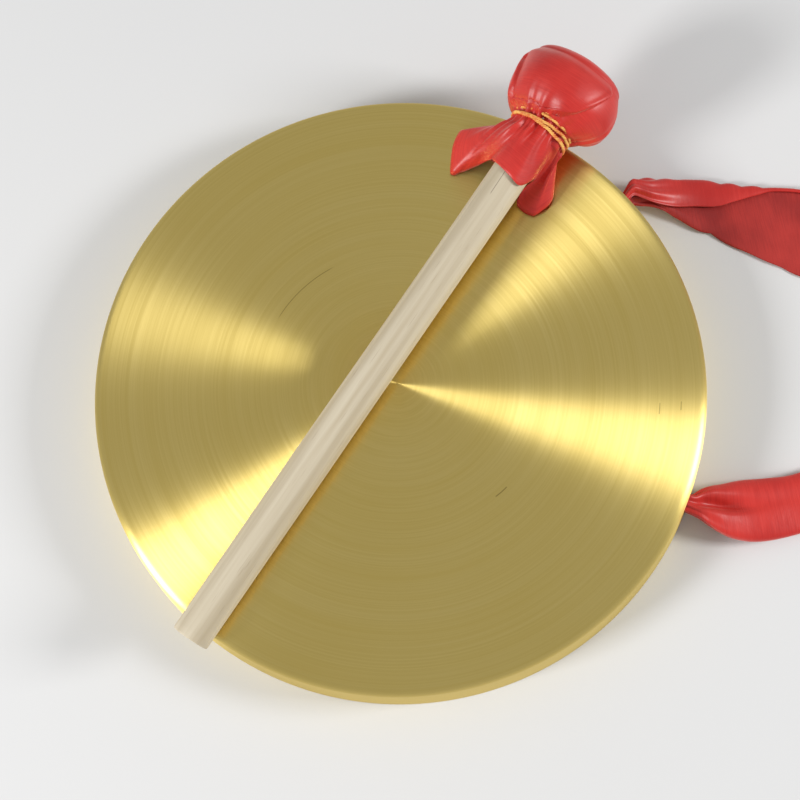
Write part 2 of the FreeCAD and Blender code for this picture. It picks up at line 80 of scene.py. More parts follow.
class Wire:
    """A shader socket that takes part in sums: each operator adds one Math node."""

    def __init__(self, paint: "Paint", socket: bpy.types.NodeSocket) -> None:
        """Wrap a socket of a paint's node tree."""
        self.paint = paint
        self.socket = socket

    def maths(self, operation: str, *others: "Wire | float") -> "Wire":
        """Feed this wire and the others to a Math node.

        Args:
            operation: The Math node's operation.
            others: Its second and third values.

        Returns:
            The node's result.
        """
        inputs = dict(enumerate((self, *others)))
        return self.paint.add("ShaderNodeMath", {"operation": operation}, inputs)

    def __add__(self, other: "Wire | float") -> "Wire":
        """This plus other."""
        return self.maths("ADD", other)

    __radd__ = __add__

    def __sub__(self, other: "Wire | float") -> "Wire":
        """This minus other."""
        return self.maths("SUBTRACT", other)

    def __rsub__(self, other: float) -> "Wire":
        """A number minus this."""
        return self.maths("MULTIPLY_ADD", -1.0, other)

    def __mul__(self, other: "Wire | float") -> "Wire":
        """This times other."""
        return self.maths("MULTIPLY", other)

    __rmul__ = __mul__

    def __truediv__(self, other: "Wire | float") -> "Wire":
        """This over other."""
        return self.maths("DIVIDE", other)

    def __pow__(self, other: "Wire | float") -> "Wire":
        """This to the power of other."""
        return self.maths("POWER", other)

    def above(self, low: float, high: float) -> "Wire":
        """How far this lies between low and high, from 0 to 1, eased at both ends."""
        settings = {"interpolation_type": "SMOOTHSTEP"}
        return self.paint.add(
            "ShaderNodeMapRange", settings, {"Value": self, "From Min": low, "From Max": high})


class Paint:
    """One material's node tree and what can be put in it."""

    def __init__(self, name: str) -> None:
        """Start an empty material.

        Args:
            name: The material's name.
        """
        self.material = bpy.data.materials.new(name)
        self.material.use_nodes = True
        self.tree = self.material.node_tree
        self.tree.nodes.clear()

    def add(
        self, kind: str, settings: dict[str, Any] | None = None,
        inputs: dict[str | int, Any] | None = None, output: str | int = 0,
    ) -> Wire:
        """Add any node.

        Args:
            kind: The node's type.
            settings: Its properties, set first; stops are a colour ramp's.
            inputs: Its sockets' values or the wires that feed them.
            output: The socket to return.

        Returns:
            The chosen output.
        """
        node = self.tree.nodes.new(kind)
        for key, value in (settings or {}).items():
            if key == "stops":
                self.set_stops(node.color_ramp, value)
            else:
                setattr(node, key, value)
        for key, value in (inputs or {}).items():
            if isinstance(value, Wire):
                self.tree.links.new(value.socket, node.inputs[key])
            else:
                node.inputs[key].default_value = value
        return Wire(self, node.outputs[output])

    @staticmethod
    def set_stops(ramp: bpy.types.ColorRamp, stops: Stops) -> None:
        """Give a ramp its stops, from 0 to 1."""
        for _ in range(len(stops) - 2):
            ramp.elements.new(0.5)
        for element, (place, colour) in zip(ramp.elements, stops):
            element.position = place
            element.color = (*colour, 1.0)

    def coordinates(self, kind: str = "Object") -> Wire:
        """The piece's own coordinates, or its UV map."""
        return self.add("ShaderNodeTexCoord", output=kind)

    def split(self, vector: Wire) -> tuple[Wire, Wire, Wire]:
        """A vector's three numbers."""
        node = self.add("ShaderNodeSeparateXYZ", inputs={0: vector}).socket.node
        return tuple(Wire(self, node.outputs[i]) for i in range(3))

    def join(self, x: Wire | float, y: Wire | float, z: Wire | float) -> Wire:
        """A vector from three numbers."""
        return self.add("ShaderNodeCombineXYZ", inputs={0: x, 1: y, 2: z})

    def turned(self, vector: Wire, place: Vector, turn: Matrix) -> Wire:
        """Coordinates in a frame of the piece's own.

        Args:
            vector: Object coordinates.
            place: The frame's origin.
            turn: The frame's axes as columns.

        Returns:
            The coordinates seen from that frame.
        """
        inverse = Matrix.Translation(place) @ turn.to_4x4()
        inverse.invert()
        return self.add("ShaderNodeMapping", {"vector_type": "POINT"}, {
            "Vector": vector, "Location": inverse.translation, "Rotation": inverse.to_euler()})

    def noise(self, vector: Wire, scale: float, detail: float = 2.0, roughness: float = 0.5) -> Wire:
        """Smooth noise from 0 to 1."""
        return self.add("ShaderNodeTexNoise", inputs={
            "Vector": vector, "Scale": scale, "Detail": detail, "Roughness": roughness})

    def ramp(self, value: Wire, stops: Stops) -> Wire:
        """A colour that follows a value."""
        return self.add("ShaderNodeValToRGB", {"stops": stops}, {"Fac": value})

    def mix(self, share: Wire | float, first: Wire | Colour, second: Wire | Colour,
            kind: str = "MIX") -> Wire:
        """Two colours mixed by a share of the second."""
        colours = [c if isinstance(c, Wire) else (*c, 1.0) for c in (first, second)]
        return self.add(
            "ShaderNodeMix", {"data_type": "RGBA", "blend_type": kind},
            {0: share, 6: colours[0], 7: colours[1]}, output=2)

    def bump(self, height: Wire, depth: float, strength: float = 1.0, under: Wire | None = None) -> Wire:
        """A normal from a height.

        Args:
            height: The height, from 0 to 1.
            depth: Metres from 0 to 1.
            strength: Share of the effect.
            under: A normal to build on.

        Returns:
            The new normal.
        """
        inputs: dict[str | int, Any] = {"Height": height, "Distance": depth, "Strength": strength}
        if under is not None:
            inputs["Normal"] = under
        return self.add("ShaderNodeBump", inputs=inputs)

    def surface(self, **sockets: Any) -> bpy.types.Material:
        """Finish with a Principled surface.

        Args:
            sockets: Its sockets, with underscores for spaces.

        Returns:
            The finished material.
        """
        inputs = {key.replace("_", " "): value for key, value in sockets.items()}
        shader = self.add("ShaderNodeBsdfPrincipled", inputs=inputs)
        output = self.tree.nodes.new("ShaderNodeOutputMaterial")
        self.tree.links.new(shader.socket, output.inputs["Surface"])
        return self.material


# ---------------------------------------------------------------- shaping helpers


def eased(value: np.ndarray | float, low: float, high: float) -> np.ndarray | float:
    """How far a value lies between low and high, from 0 to 1, eased at both ends."""
    share = np.clip((value - low) / (high - low), 0.0, 1.0)
    return share * share * (3.0 - 2.0 * share)


def through(points: Sequence[Sequence[float]], steps: int, closed: bool = False) -> np.ndarray:
    """A smooth line through points, Catmull-Rom.

    Args:
        points: The points or rows of numbers to pass through.
        steps: Pieces between each pair.
        closed: Whether the last leads back to the first.

    Returns:
        The line's points, the last one included when it is open.
    """
    knots = np.asarray(points, float)
    count = len(knots)
    spans = count if closed else count - 1
    line = []
    for span in range(spans):
        if closed:
            before, first, second, after = (knots[(span + i) % count] for i in (-1, 0, 1, 2))
        else:
            first, second = knots[span], knots[span + 1]
            before = knots[span - 1] if span else 2 * first - second
            after = knots[span + 2] if span + 2 < count else 2 * second - first
        for step in range(steps):
            share = step / steps
            line.append(0.5 * (
                2 * first + (second - before) * share
                + (2 * before - 5 * first + 4 * second - after) * share ** 2
                + (3 * first - before - 3 * second + after) * share ** 3))
    if not closed:
        line.append(knots[-1])
    return np.asarray(line)


def evenly(line: np.ndarray, count: int) -> np.ndarray:
    """Points of a line, spaced evenly along it."""
    runs = np.linalg.norm(np.diff(line, axis=0), axis=1)
    along = np.concatenate([[0.0], np.cumsum(runs)])
    wanted = np.linspace(0.0, along[-1], count)
    return np.stack([np.interp(wanted, along, line[:, i]) for i in range(line.shape[1])], axis=1)


def follow(table: Sequence[tuple[float, float]], place: np.ndarray | float) -> np.ndarray | float:
    """A value read from a short list of (place, value), eased between them."""
    places, values = zip(*table)
    line = through(table, 12)
    order = np.argsort(line[:, 0], kind="stable")
    inside = np.clip(place, places[0], places[-1])
    return np.interp(inside, line[order, 0], line[order, 1])


@dataclass(frozen=True)
class Frame:
    """A place and its three directions, in metres."""

    origin: Vector
    turn: Matrix

    @property
    def matrix(self) -> Matrix:
        """From this frame to the object's, for points in millimetres."""
        return Matrix.Translation(self.origin) @ self.turn.to_4x4() @ Matrix.Scale(MM, 4)


def mesh_object(
    name: str, points: np.ndarray, faces: Sequence[Sequence[int]], place: Matrix | None = None,
    uvs: np.ndarray | None = None,
) -> bpy.types.Object:
    """A smooth-shaded mesh object, with its place in its mesh.

    Args:
        name: The piece's name.
        points: Its points, in millimetres.
        faces: Point numbers of each face.
        place: What turns the points into the object's frame, or None for a plain scale.
        uvs: One pair of UV numbers for each point.

    Returns:
        The object, linked to the scene.
    """
    mesh = bpy.data.meshes.new(name)
    mesh.from_pydata([tuple(p) for p in points], [], [tuple(f) for f in faces])
    if uvs is not None:
        layer = mesh.uv_layers.new(name="cloth")
        corners = np.zeros(len(mesh.loops), np.int32)
        mesh.loops.foreach_get("vertex_index", corners)
        layer.data.foreach_set("uv", np.asarray(uvs, float)[corners].ravel())
    mesh.transform(place if place is not None else Matrix.Scale(MM, 4))
    mesh.polygons.foreach_set("use_smooth", [True] * len(mesh.polygons))
    mesh.update()
    piece = bpy.data.objects.new(name, mesh)
    bpy.context.scene.collection.objects.link(piece)
    return piece


def grid_faces(rows: int, columns: int, ring: bool) -> list[tuple[int, int, int, int]]:
    """Faces of a grid of points whose columns may close into a ring."""
    faces = []
    for row in range(rows - 1):
        for column in range(columns if ring else columns - 1):
            beside = (column + 1) % columns
            faces.append((
                row * columns + column, row * columns + beside,
                (row + 1) * columns + beside, (row + 1) * columns + column))
    return faces


def settle(piece: bpy.types.Object) -> bpy.types.Object:
    """Turn a piece's modifiers into plain mesh."""
    graph = bpy.context.evaluated_depsgraph_get()
    mesh = bpy.data.meshes.new_from_object(piece.evaluated_get(graph), depsgraph=graph)
    piece.modifiers.clear()
    piece.data = mesh
    return piece


def outward(piece: bpy.types.Object) -> bpy.types.Object:
    """Merge doubled points and turn every face outwards."""
    work = bmesh.new()
    work.from_mesh(piece.data)
    bmesh.ops.remove_doubles(work, verts=work.verts, dist=1e-7)
    bmesh.ops.recalc_face_normals(work, faces=work.faces)
    work.to_mesh(piece.data)
    work.free()
    return piece


def dress(piece: bpy.types.Object, *finishes: bpy.types.Material) -> bpy.types.Object:
    """Give a piece its materials, in place of any it has."""
    piece.data.materials.clear()
    for finish in finishes:
        piece.data.materials.append(finish)
    return piece


def thicken(piece: bpy.types.Object, thickness: float, levels: int, inner: int = 0) -> bpy.types.Object:
    """Give a sheet its thickness, in millimetres, and smooth it.

    Args:
        piece: The sheet.
        thickness: Its thickness.
        levels: Subdivision levels.
        inner: How much further down the material list its back's finish is.

    Returns:
        The piece, with its modifiers applied.
    """
    wall = piece.modifiers.new("wall", "SOLIDIFY")
    wall.thickness, wall.offset = thickness * MM, 0.0
    wall.material_offset = inner
    if levels:
        smooth = piece.modifiers.new("smooth", "SUBSURF")
        smooth.levels = smooth.render_levels = levels
    return settle(piece)


# ---------------------------------------------------------------- geometry trees


class Recipe:
    """A geometry node tree with named inputs that ends in plain mesh of one material."""

    def __init__(self, name: str) -> None:
        """Start an empty tree."""
        self.tree = bpy.data.node_groups.new(name, "GeometryNodeTree")
        self.enter = self.tree.nodes.new("NodeGroupInput")
        self.values: dict[str, Any] = {}

    def given(self, name: str, kind: str, value: Any) -> bpy.types.NodeSocket:
        """Add a named input and the value it gets.

        Args:
            name: The input's name.
            kind: Its type, such as Float, Int or Material.
            value: What a piece made with the tree gives it.

        Returns:
            The socket that carries it.
        """
        item = self.tree.interface.new_socket(name, in_out="INPUT", socket_type=f"NodeSocket{kind}")
        self.values[item.identifier] = value
        return self.enter.outputs[name]

    def add(self, kind: str, settings: dict[str, Any] | None = None,
            inputs: dict[str | int, Any] | None = None, output: str | int = 0) -> bpy.types.NodeSocket:
        """Add a node, set it, feed it and return one of its outputs."""
        node = self.tree.nodes.new(kind)
        for key, value in (settings or {}).items():
            setattr(node, key, value)
        for key, value in (inputs or {}).items():
            for one in value if isinstance(value, list) else [value]:
                if isinstance(one, bpy.types.NodeSocket):
                    self.tree.links.new(one, node.inputs[key])
                else:
                    node.inputs[key].default_value = one
        return node.outputs[output]

    def maths(self, operation: str, first: Any, second: Any = 0.0, third: Any = 0.0) -> bpy.types.NodeSocket:
        """One Math node."""
        return self.add("ShaderNodeMath", {"operation": operation}, {0: first, 1: second, 2: third})

    def make(self, name: str, geometry: bpy.types.NodeSocket, finish: bpy.types.Material,
             place: Matrix) -> bpy.types.Object:
        """Close the tree and turn its result into a plain mesh piece.

        Args:
            name: The piece's name.
            geometry: What the tree has made.
            finish: The piece's material.
            place: The frame that the tree's millimetres are in.

        Returns:
            The piece.
        """
        material = self.given("Material", "Material", finish)
        plain = self.add("GeometryNodeRealizeInstances", inputs={0: geometry})
        dressed = self.add("GeometryNodeSetMaterial", inputs={"Geometry": plain, "Material": material})
        self.tree.interface.new_socket("Geometry", in_out="OUTPUT", socket_type="NodeSocketGeometry")
        leave = self.tree.nodes.new("NodeGroupOutput")
        self.tree.links.new(dressed, leave.inputs[0])
        piece = bpy.data.objects.new(name, bpy.data.meshes.new(name))
        bpy.context.scene.collection.objects.link(piece)
        nodes = piece.modifiers.new("recipe", "NODES")
        nodes.node_group = self.tree
        for identifier, value in self.values.items():
            nodes[identifier] = value
        settle(piece)
        piece.data.transform(place)
        piece.data.polygons.foreach_set("use_smooth", [True] * len(piece.data.polygons))
        return piece


# ---------------------------------------------------------------- finishes


@dataclass(frozen=True)
class Lamp:
    """A softbox two metres from the gong's middle, by its direction, with its power in watts."""

    heading: float
    height: float
    power: float


@dataclass(frozen=True)
class SpunBrass:
    """Sheet brass, brushed in circles on a lathe."""

    metal: Colour = (0.775, 0.588, 0.169)
    worn: Colour = (0.875, 0.688, 0.238)
    roughness: float = 0.36
    pull: float = 1.0
    brushed_turn: float = 0.25
    lines_per_metre: float = 1150.0

    def make(self, name: str, scratches: Sequence["Scratch"] = ()) -> bpy.types.Material:
        """Build the material.

        Args:
            name: Its name.
            scratches: Marks on the face.

        Returns:
            The material.
        """
        paint = Paint(name)
        x, y, z = paint.split(paint.coordinates())
        radius = (x * x + y * y) ** 0.5
        far = radius.maths("MAXIMUM", 0.0005)
        ring = paint.join(x / far * 0.8, y / far * 0.8, (radius + z * 0.7) * self.lines_per_metre)
        fine = paint.noise(ring, 1.0, 3.0, 0.62)
        wide = paint.noise(paint.join(x / far * 0.5, y / far * 0.5, radius * 140.0), 1.0, 2.0)
        patch = paint.noise(paint.coordinates(), 14.0, 2.0)
        marks = sum((scratch.mark(paint, x, y, radius) for scratch in scratches), start=wide * 0.0)
        tone = (fine * 0.55 + wide * 0.3 + patch * 0.25).above(0.35, 0.78)
        colour = paint.mix(tone, self.metal, self.worn)
        colour = paint.mix((marks * 0.6).maths("MINIMUM", 1.0), colour, (0.2, 0.13, 0.03))
        dull = fine * 0.12 + wide * 0.07 + patch * 0.05 + (self.roughness - 0.12)
        rough = dull + marks * 0.1
        height = fine * 0.7 + wide * 0.3 - marks * 1.5
        normal = paint.bump(height, 0.000012)
        return paint.surface(
            Base_Color=colour, Metallic=1.0, Roughness=rough, Anisotropic=self.pull,
            Anisotropic_Rotation=self.brushed_turn, Normal=normal)


@dataclass(frozen=True)
class Scratch:
    """A fine mark on the face: part of a circle about a centre, in metres and degrees."""

    centre: tuple[float, float]
    radius: float
    middle: float
    half_sweep: float
    width: float = 0.00028

    def mark(self, paint: Paint, x: Wire, y: Wire, radius: Wire) -> Wire:
        """How deep the mark is at a point of the face, from 0 to 1."""
        away_x, away_y = x - self.centre[0], y - self.centre[1]
        away = (away_x * away_x + away_y * away_y) ** 0.5
        off = (away - self.radius).maths("ABSOLUTE")
        line = 1.0 - off.above(0.0, self.width)
        turn = math.radians(self.middle)
        facing = (away_x * math.cos(turn) + away_y * math.sin(turn)) / away.maths("MAXIMUM", 1e-5)
        edge = math.cos(math.radians(self.half_sweep))
        return line * facing.above(edge, edge + (1 - edge) * 0.4)


@dataclass(frozen=True)
class Satin:
    """Polyester satin: a soft broad gloss over very fine weft threads."""

    face: Colour = (0.60, 0.033, 0.024)
    shade: Colour = (0.42, 0.014, 0.011)
    roughness: float = 0.42
    sheen: float = 0.35
    threads_per_metre: float = 5200.0

    def make(self, name: str, dull: bool = False) -> bpy.types.Material:
        """Build the material, or the cloth's duller back."""
        paint = Paint(name)
        across, along, _ = paint.split(paint.coordinates("UV"))
        weft = (along * self.threads_per_metre).maths("SINE") * 0.5 + 0.5
        slub = paint.noise(paint.join(across * 90.0, along * 1500.0, 0.0), 1.0, 2.0)
        crush = paint.noise(paint.coordinates(), 160.0, 3.0, 0.6)
        cloud = paint.noise(paint.coordinates(), 34.0, 2.0)
        tone = (slub * 0.35 + cloud * 0.65).above(0.30, 0.70)
        low, high = (self.shade, self.face)
        if dull:
            low, high = (tuple(c * 0.62 for c in self.shade), tuple(c * 0.72 for c in self.face))
        colour = paint.mix(tone, low, high)
        normal = paint.bump(crush, 0.00035, 0.5)
        normal = paint.bump(weft * 0.5 + slub * 0.5, 0.00002, 0.6, normal)
        rough = (self.roughness + (0.2 if dull else 0.0) - 0.08) + slub * 0.12
        return paint.surface(
            Base_Color=colour, Roughness=rough, Normal=normal, Sheen_Weight=self.sheen,
            Sheen_Roughness=0.4, Sheen_Tint=(1.0, 0.45, 0.38, 1.0), Specular_IOR_Level=0.42)


@dataclass(frozen=True)
class PaleWood:
    """A lathe-turned hardwood dowel, sanded and left bare."""

    light: Colour = (0.60, 0.53, 0.40)
    dark: Colour = (0.46, 0.385, 0.265)
    pore: Colour = (0.31, 0.235, 0.15)

    def make(self, name: str, place: Frame, dark_line_start: float) -> bpy.types.Material:
        """Build the material.

        Args:
            name: Its name.
            place: The mallet's frame, its Z along the grain.
            dark_line_start: Where a thin dark line on the stick's upper side starts, along the stick, in
                metres.

        Returns:
            The material.
        """
        paint = Paint(name)
        local = paint.turned(paint.coordinates(), place.origin, place.turn)
        x, y, z = paint.split(local)
        grain = paint.noise(paint.join(x * 260.0, y * 260.0, z * 9.0), 1.0, 4.0, 0.6)
        rings = paint.noise(paint.join(x * 95.0 + 3.0, y * 95.0, z * 3.0), 1.0, 2.0)
        pores = paint.noise(paint.join(x * 1500.0, y * 1500.0, z * 60.0), 1.0, 1.0)
        colour = paint.mix((grain * 0.5 + rings * 0.6).above(0.38, 0.72), self.light, self.dark)
        colour = paint.mix(pores.above(0.66, 0.78) * 0.45, colour, self.pore)
        # A thin dark line along the stick's upper side, 16 mm long and slightly slanted: darker colour only.
        dark_line = 1.0 - (x - 0.0015 - z * 0.02).maths("ABSOLUTE").above(0.00008, 0.00022)
        reach = (z - dark_line_start).above(0.0, 0.002) * (1.0 - (z - dark_line_start - 0.016).above(0.0, 0.002))
        colour = paint.mix(dark_line * reach * y.above(0.0, 0.002) * 0.8, colour, (0.16, 0.12, 0.09))
        normal = paint.bump(grain * 0.6 + pores * 0.4, 0.00006, 0.7)
        return paint.surface(
            Base_Color=colour, Roughness=grain * 0.2 + 0.5, Normal=normal, Specular_IOR_Level=0.3)


@dataclass(frozen=True)
class Elastic:
    """Thin rubber-cored thread, orange wound with yellow."""

    orange: Colour = (0.70, 0.20, 0.045)
    yellow: Colour = (0.82, 0.47, 0.12)

    def make(self, name: str) -> bpy.types.Material:
        """Build the material."""
        paint = Paint(name)
        spots = paint.noise(paint.coordinates(), 420.0, 2.0)
        patch = paint.noise(paint.coordinates(), 90.0, 1.0)
        colour = paint.mix((spots * 0.5 + patch * 0.5).above(0.40, 0.60), self.orange, self.yellow)
        normal = paint.bump(spots, 0.0001, 0.6)
        return paint.surface(Base_Color=colour, Roughness=spots * 0.2 + 0.5, Normal=normal)


@dataclass(frozen=True)
class Cotton:
    """Cotton wadding and the wound cloth under the cover."""

    white: Colour = (0.80, 0.77, 0.70)
    grey: Colour = (0.62, 0.58, 0.51)

    def make(self, name: str) -> bpy.types.Material:
        """Build the material."""
        paint = Paint(name)
        fibre = paint.noise(paint.coordinates(), 700.0, 4.0, 0.7)
        lump = paint.noise(paint.coordinates(), 120.0, 2.0)
        colour = paint.mix((fibre * 0.5 + lump * 0.5).above(0.35, 0.65), self.grey, self.white)
        normal = paint.bump(fibre, 0.0004, 0.8)
        return paint.surface(Base_Color=colour, Roughness=fibre * 0.1 + 0.88, Normal=normal)


# ---------------------------------------------------------------- the studio


@dataclass
class Studio:
    """The pale floor, the soft light and the camera."""

    eye: tuple[float, float, float] = (0.036, -0.188, 0.750)
    aim: tuple[float, float, float] = (0.0011, -0.0079, 0.028)
    field_of_view: float = 29.28
    sensor: float = 36.0
    floor_half: float = 6.0
    floor_tone: Colour = (0.66, 0.66, 0.66)
    sky_light: float = 0.60
    lamp_reach: float = 2.0
    lamp_side: float = 0.5
    # each box lights two opposite fans of the brushed face
    lamps: tuple[Lamp, ...] = (
        Lamp(205, 30, 34.0),
        Lamp(0, 30, 25.0),
    )

    def camera(self) -> bpy.types.Object:
        """Make the camera, level with the object's Y axis upwards in its view."""
        data = bpy.data.cameras.new("studio_camera")
        data.sensor_width = self.sensor
        data.lens = self.sensor / 2 / math.tan(math.radians(self.field_of_view) / 2)
        data.clip_start, data.clip_end = 0.01, 50.0
        eye, aim = Vector(self.eye), Vector(self.aim)
        back = (eye - aim).normalized()
        right = Vector((0, 1, 0)).cross(back).normalized()
        turn = Matrix((right, back.cross(right), back)).transposed()
        camera = bpy.data.objects.new("studio_camera", data)
        camera.matrix_world = Matrix.Translation(eye) @ turn.to_4x4()
        bpy.context.scene.collection.objects.link(camera)
        bpy.context.scene.camera = camera
        return camera

    def floor(self) -> bpy.types.Object:
        """Make the floor that the gong lies on."""
        low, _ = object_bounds()
        half = self.floor_half
        corners = np.array([(-half, -half, 0), (half, -half, 0), (half, half, 0), (-half, half, 0)])
        plane = mesh_object("studio_floor", corners, [(0, 1, 2, 3)], Matrix.Translation((0, 0, low.z)))
        paint = Paint("floor_paper")
        grain = paint.noise(paint.coordinates(), 900.0, 2.0)
        tone = paint.mix(grain, self.floor_tone, tuple(c * 0.985 for c in self.floor_tone))
        dress(plane, paint.surface(Base_Color=tone, Roughness=0.9, Specular_IOR_Level=0.1))
        plane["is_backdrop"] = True
        return plane

    def sky(self) -> None:
        """Light everything evenly."""
        world = bpy.data.worlds.new("studio_sky")
        world.use_nodes = True
        tree = world.node_tree
        tree.nodes.clear()
        glow = tree.nodes.new("ShaderNodeBackground")
        out = tree.nodes.new("ShaderNodeOutputWorld")
        glow.inputs["Strength"].default_value = self.sky_light
        tree.links.new(glow.outputs[0], out.inputs["Surface"])
        bpy.context.scene.world = world

    def light(self, lamp: Lamp) -> bpy.types.Object:
        """Make one softbox, aimed at the gong's middle."""
        data = bpy.data.lights.new(f"softbox_{lamp.heading:.0f}", "AREA")
        data.shape, data.size, data.energy = "SQUARE", self.lamp_side, lamp.power
        turn, rise = math.radians(lamp.heading), math.radians(lamp.height)
        back = Vector((math.cos(turn) * math.cos(rise), math.sin(turn) * math.cos(rise), math.sin(rise)))
        box = bpy.data.objects.new(data.name, data)
        box.location = back * self.lamp_reach
        box.rotation_mode = "QUATERNION"
        box.rotation_quaternion = back.to_track_quat("Z", "Y")
        box.visible_camera = False
        bpy.context.scene.collection.objects.link(box)
        return box

    def build(self) -> None:
        """Make the camera, then the floor and the light."""
        self.camera()
        self.floor()
        self.sky()
        for lamp in self.lamps:
            self.light(lamp)
        bpy.context.scene.view_settings.view_transform = "Standard"


# ---------------------------------------------------------------- the gong plate


@dataclass
class GongPlate:
    """The spun plate: a lathe form with a face, a rounded corner and a rim. Millimetres."""

    face_radius: float = 150.0
    rim_height: float = 28.0
    rim_flare: float = 2.0
    sheet: float = 1.2
    corner_radius: float = 4.0
    dome_rise: float = 2.0
    hole_radius: float = 5.0
    hole_height: float = 14.0
    hole_headings: tuple[float, float] = (40.0, -22.4)
    segments: int = 384
    brass: SpunBrass = field(default_factory=SpunBrass)
    scratches: tuple[Scratch, ...] = (
        Scratch((0.0, 0.0), 0.0681, 134.0, 17.0),
        Scratch((0.020, -0.020), 0.0451, -49.0, 5.0, 0.0004),
        Scratch((0.0, 0.0), 0.1270, -6.2, 1.4, 0.0004),
        Scratch((0.0, 0.0), 0.1372, -5.2, 1.0, 0.0004),
    )

    def outline(self, inset: float) -> list[tuple[float, float]]:
        """Half of the plate's outside in section, or of its inside, from the middle to the mouth."""
        face, height = self.face_radius - inset, self.rim_height - inset
        corner = self.corner_radius - inset
        steps = 30
        line = []
        for step in range(steps):
            radius = (face - corner) * step / steps
            line.append((radius, height + self.dome_rise * (1 - (radius / face) ** 2)))
        lean = math.atan2(self.rim_flare, height)
        turns = 10
        for turn in range(turns + 1):
            angle = math.pi / 2 - (math.pi / 2 - lean) * turn / turns
            line.append((
                face - corner + corner * math.cos(angle), height - corner + corner * math.sin(angle)))
        steps = 8
        start = line[-1]
        end = (face + self.rim_flare, 0.0)
        for step in range(1, steps + 1):
            share = step / steps
            line.append(tuple(a + (b - a) * share for a, b in zip(start, end)))
        return line

    def profile(self) -> list[tuple[float, float]]:
        """The whole section: outside, the rounded lip, and back along the inside."""
        outside, inside = self.outline(0.0), self.outline(self.sheet)
        half = self.sheet / 2
        lip = []
        turns = 6
        middle = (outside[-1][0] - half, half)
        for turn in range(turns + 1):
            angle = -math.pi * turn / turns
            lip.append((middle[0] + half * math.cos(angle), middle[1] + half * math.sin(angle)))
        return outside[:-1] + lip + inside[:-1][::-1]

    def drill(self, plate: bpy.types.Object) -> None:
        """Cut the two sash holes through the rim."""
        length, sides = 30.0, 40
        for heading in self.hole_headings:
            angles = np.linspace(0, 2 * math.pi, sides, endpoint=False)
            ring = np.stack(
                [np.cos(angles) * self.hole_radius, np.sin(angles) * self.hole_radius], axis=1)
            points = np.concatenate([
                np.c_[ring, np.full(sides, -length / 2)], np.c_[ring, np.full(sides, length / 2)]])
            faces: list[tuple[int, ...]] = grid_faces(2, sides, True)
            faces += [tuple(range(sides))[::-1], tuple(range(sides, 2 * sides))]
            lift = Matrix.Translation((0, 0, self.hole_height))
            out = Matrix.Translation((self.face_radius, 0, 0))
            place = Matrix.Scale(MM, 4) @ lift @ Matrix.Rotation(math.radians(heading), 4, "Z") @ out
            drill = mesh_object("drill", points, faces, place @ Matrix.Rotation(math.pi / 2, 4, "Y"))
            outward(drill)
            cut = plate.modifiers.new("hole", "BOOLEAN")
            cut.object, cut.operation, cut.solver = drill, "DIFFERENCE", "EXACT"
            settle(plate)
            bpy.data.objects.remove(drill)

    def build(self) -> bpy.types.Object:
        """Spin the section, drill it and dress it."""
        line = self.profile()
        angles = np.linspace(0, 2 * math.pi, self.segments, endpoint=False)
        rings = [
            np.stack([r * np.cos(angles), r * np.sin(angles), np.full(self.segments, z)], axis=1)
            for r, z in line[1:-1]]
        points = np.concatenate(rings)
        faces: list[tuple[int, ...]] = grid_faces(len(rings), self.segments, True)
        top, bottom = len(points), len(points) + 1
        points = np.concatenate([points, [(0, 0, line[0][1]), (0, 0, line[-1][1])]])
        last = (len(rings) - 1) * self.segments
        for number in range(self.segments):
            beside = (number + 1) % self.segments
            faces.append((top, number, beside))
            faces.append((bottom, last + beside, last + number))
        plate = outward(mesh_object("brass_plate", points, faces))
        self.drill(plate)
        dress(plate, self.brass.make("spun_brass", self.scratches))
        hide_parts("gong_plate")
        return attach(plate, "gong")


# ---------------------------------------------------------------- the mallet


@dataclass
class Mallet:
    """The dowel, and the frame that the satin head and the bands round the neck are placed in. Millimetres,
    and degrees.
    """

    stick_radius: float = 9.5
    stick_length: float = 325.0
    stick_in_head: float = 26.0
    stick_chamfer: float = 0.7
    stick_wobble: float = 0.12
    wood: PaleWood = field(default_factory=PaleWood)

    def frame_from(self, stick: bpy.types.Object) -> Frame:
        """The mallet's frame, from its dowel: origin at the neck, X left, Y up, Z towards the head."""
        points = np.array([v.co for v in stick.data.vertices])
        middle = (points.max(axis=0) + points.min(axis=0)) / 2
        _, _, axes = np.linalg.svd(points - points.mean(axis=0), full_matrices=False)
        along = Vector(axes[0]) * (1 if axes[0][1] > 0 else -1)
        neck = Vector(middle) + along * ((self.stick_length / 2 - self.stick_in_head) * MM)
        left = Vector((0, 0, 1)).cross(along).normalized()
        return Frame(neck, Matrix((left, along.cross(left), along)).transposed())

    def stick(self, place: Frame) -> bpy.types.Object:
        """Turn the dowel, a little uneven as sanded wood is, with softened ends."""
        sides, steps = 72, 90
        start, end = self.stick_in_head - self.stick_length, self.stick_in_head
        chamfer = self.stick_chamfer
        stops = [(start, -2.0 * chamfer), (start, -chamfer), (start + 0.3 * chamfer, -0.3 * chamfer)]
        stops += [(start + chamfer + (end - start - 2 * chamfer) * i / steps, 0.0) for i in range(steps + 1)]
        stops += [(end - 0.3 * chamfer, -0.3 * chamfer), (end, -chamfer), (end, -2.0 * chamfer)]
        angles = np.linspace(0, 2 * math.pi, sides, endpoint=False)
        rings = []
        for along, less in stops:
            uneven = self.stick_wobble * (
                math.sin(along / 47.0) * np.cos(angles + 0.7) + math.sin(along / 31.0 + 2.0) * 0.5)
            radius = self.stick_radius + less - self.stick_wobble + uneven
            rings.append(np.stack(
                [radius * np.cos(angles), radius * np.sin(angles), np.full(sides, along)], axis=1))
        points = np.concatenate(rings)
        faces: list[tuple[int, ...]] = grid_faces(len(rings), sides, True)
        faces += [tuple(range(sides)), tuple(range(len(points) - sides, len(points)))]
        dowel = outward(mesh_object("wooden_stick", points, faces, place.matrix))
        dress(dowel, self.wood.make("bare_hardwood", place, -0.045))
        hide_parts("mallet_stick")
        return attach(dowel, "mallet")


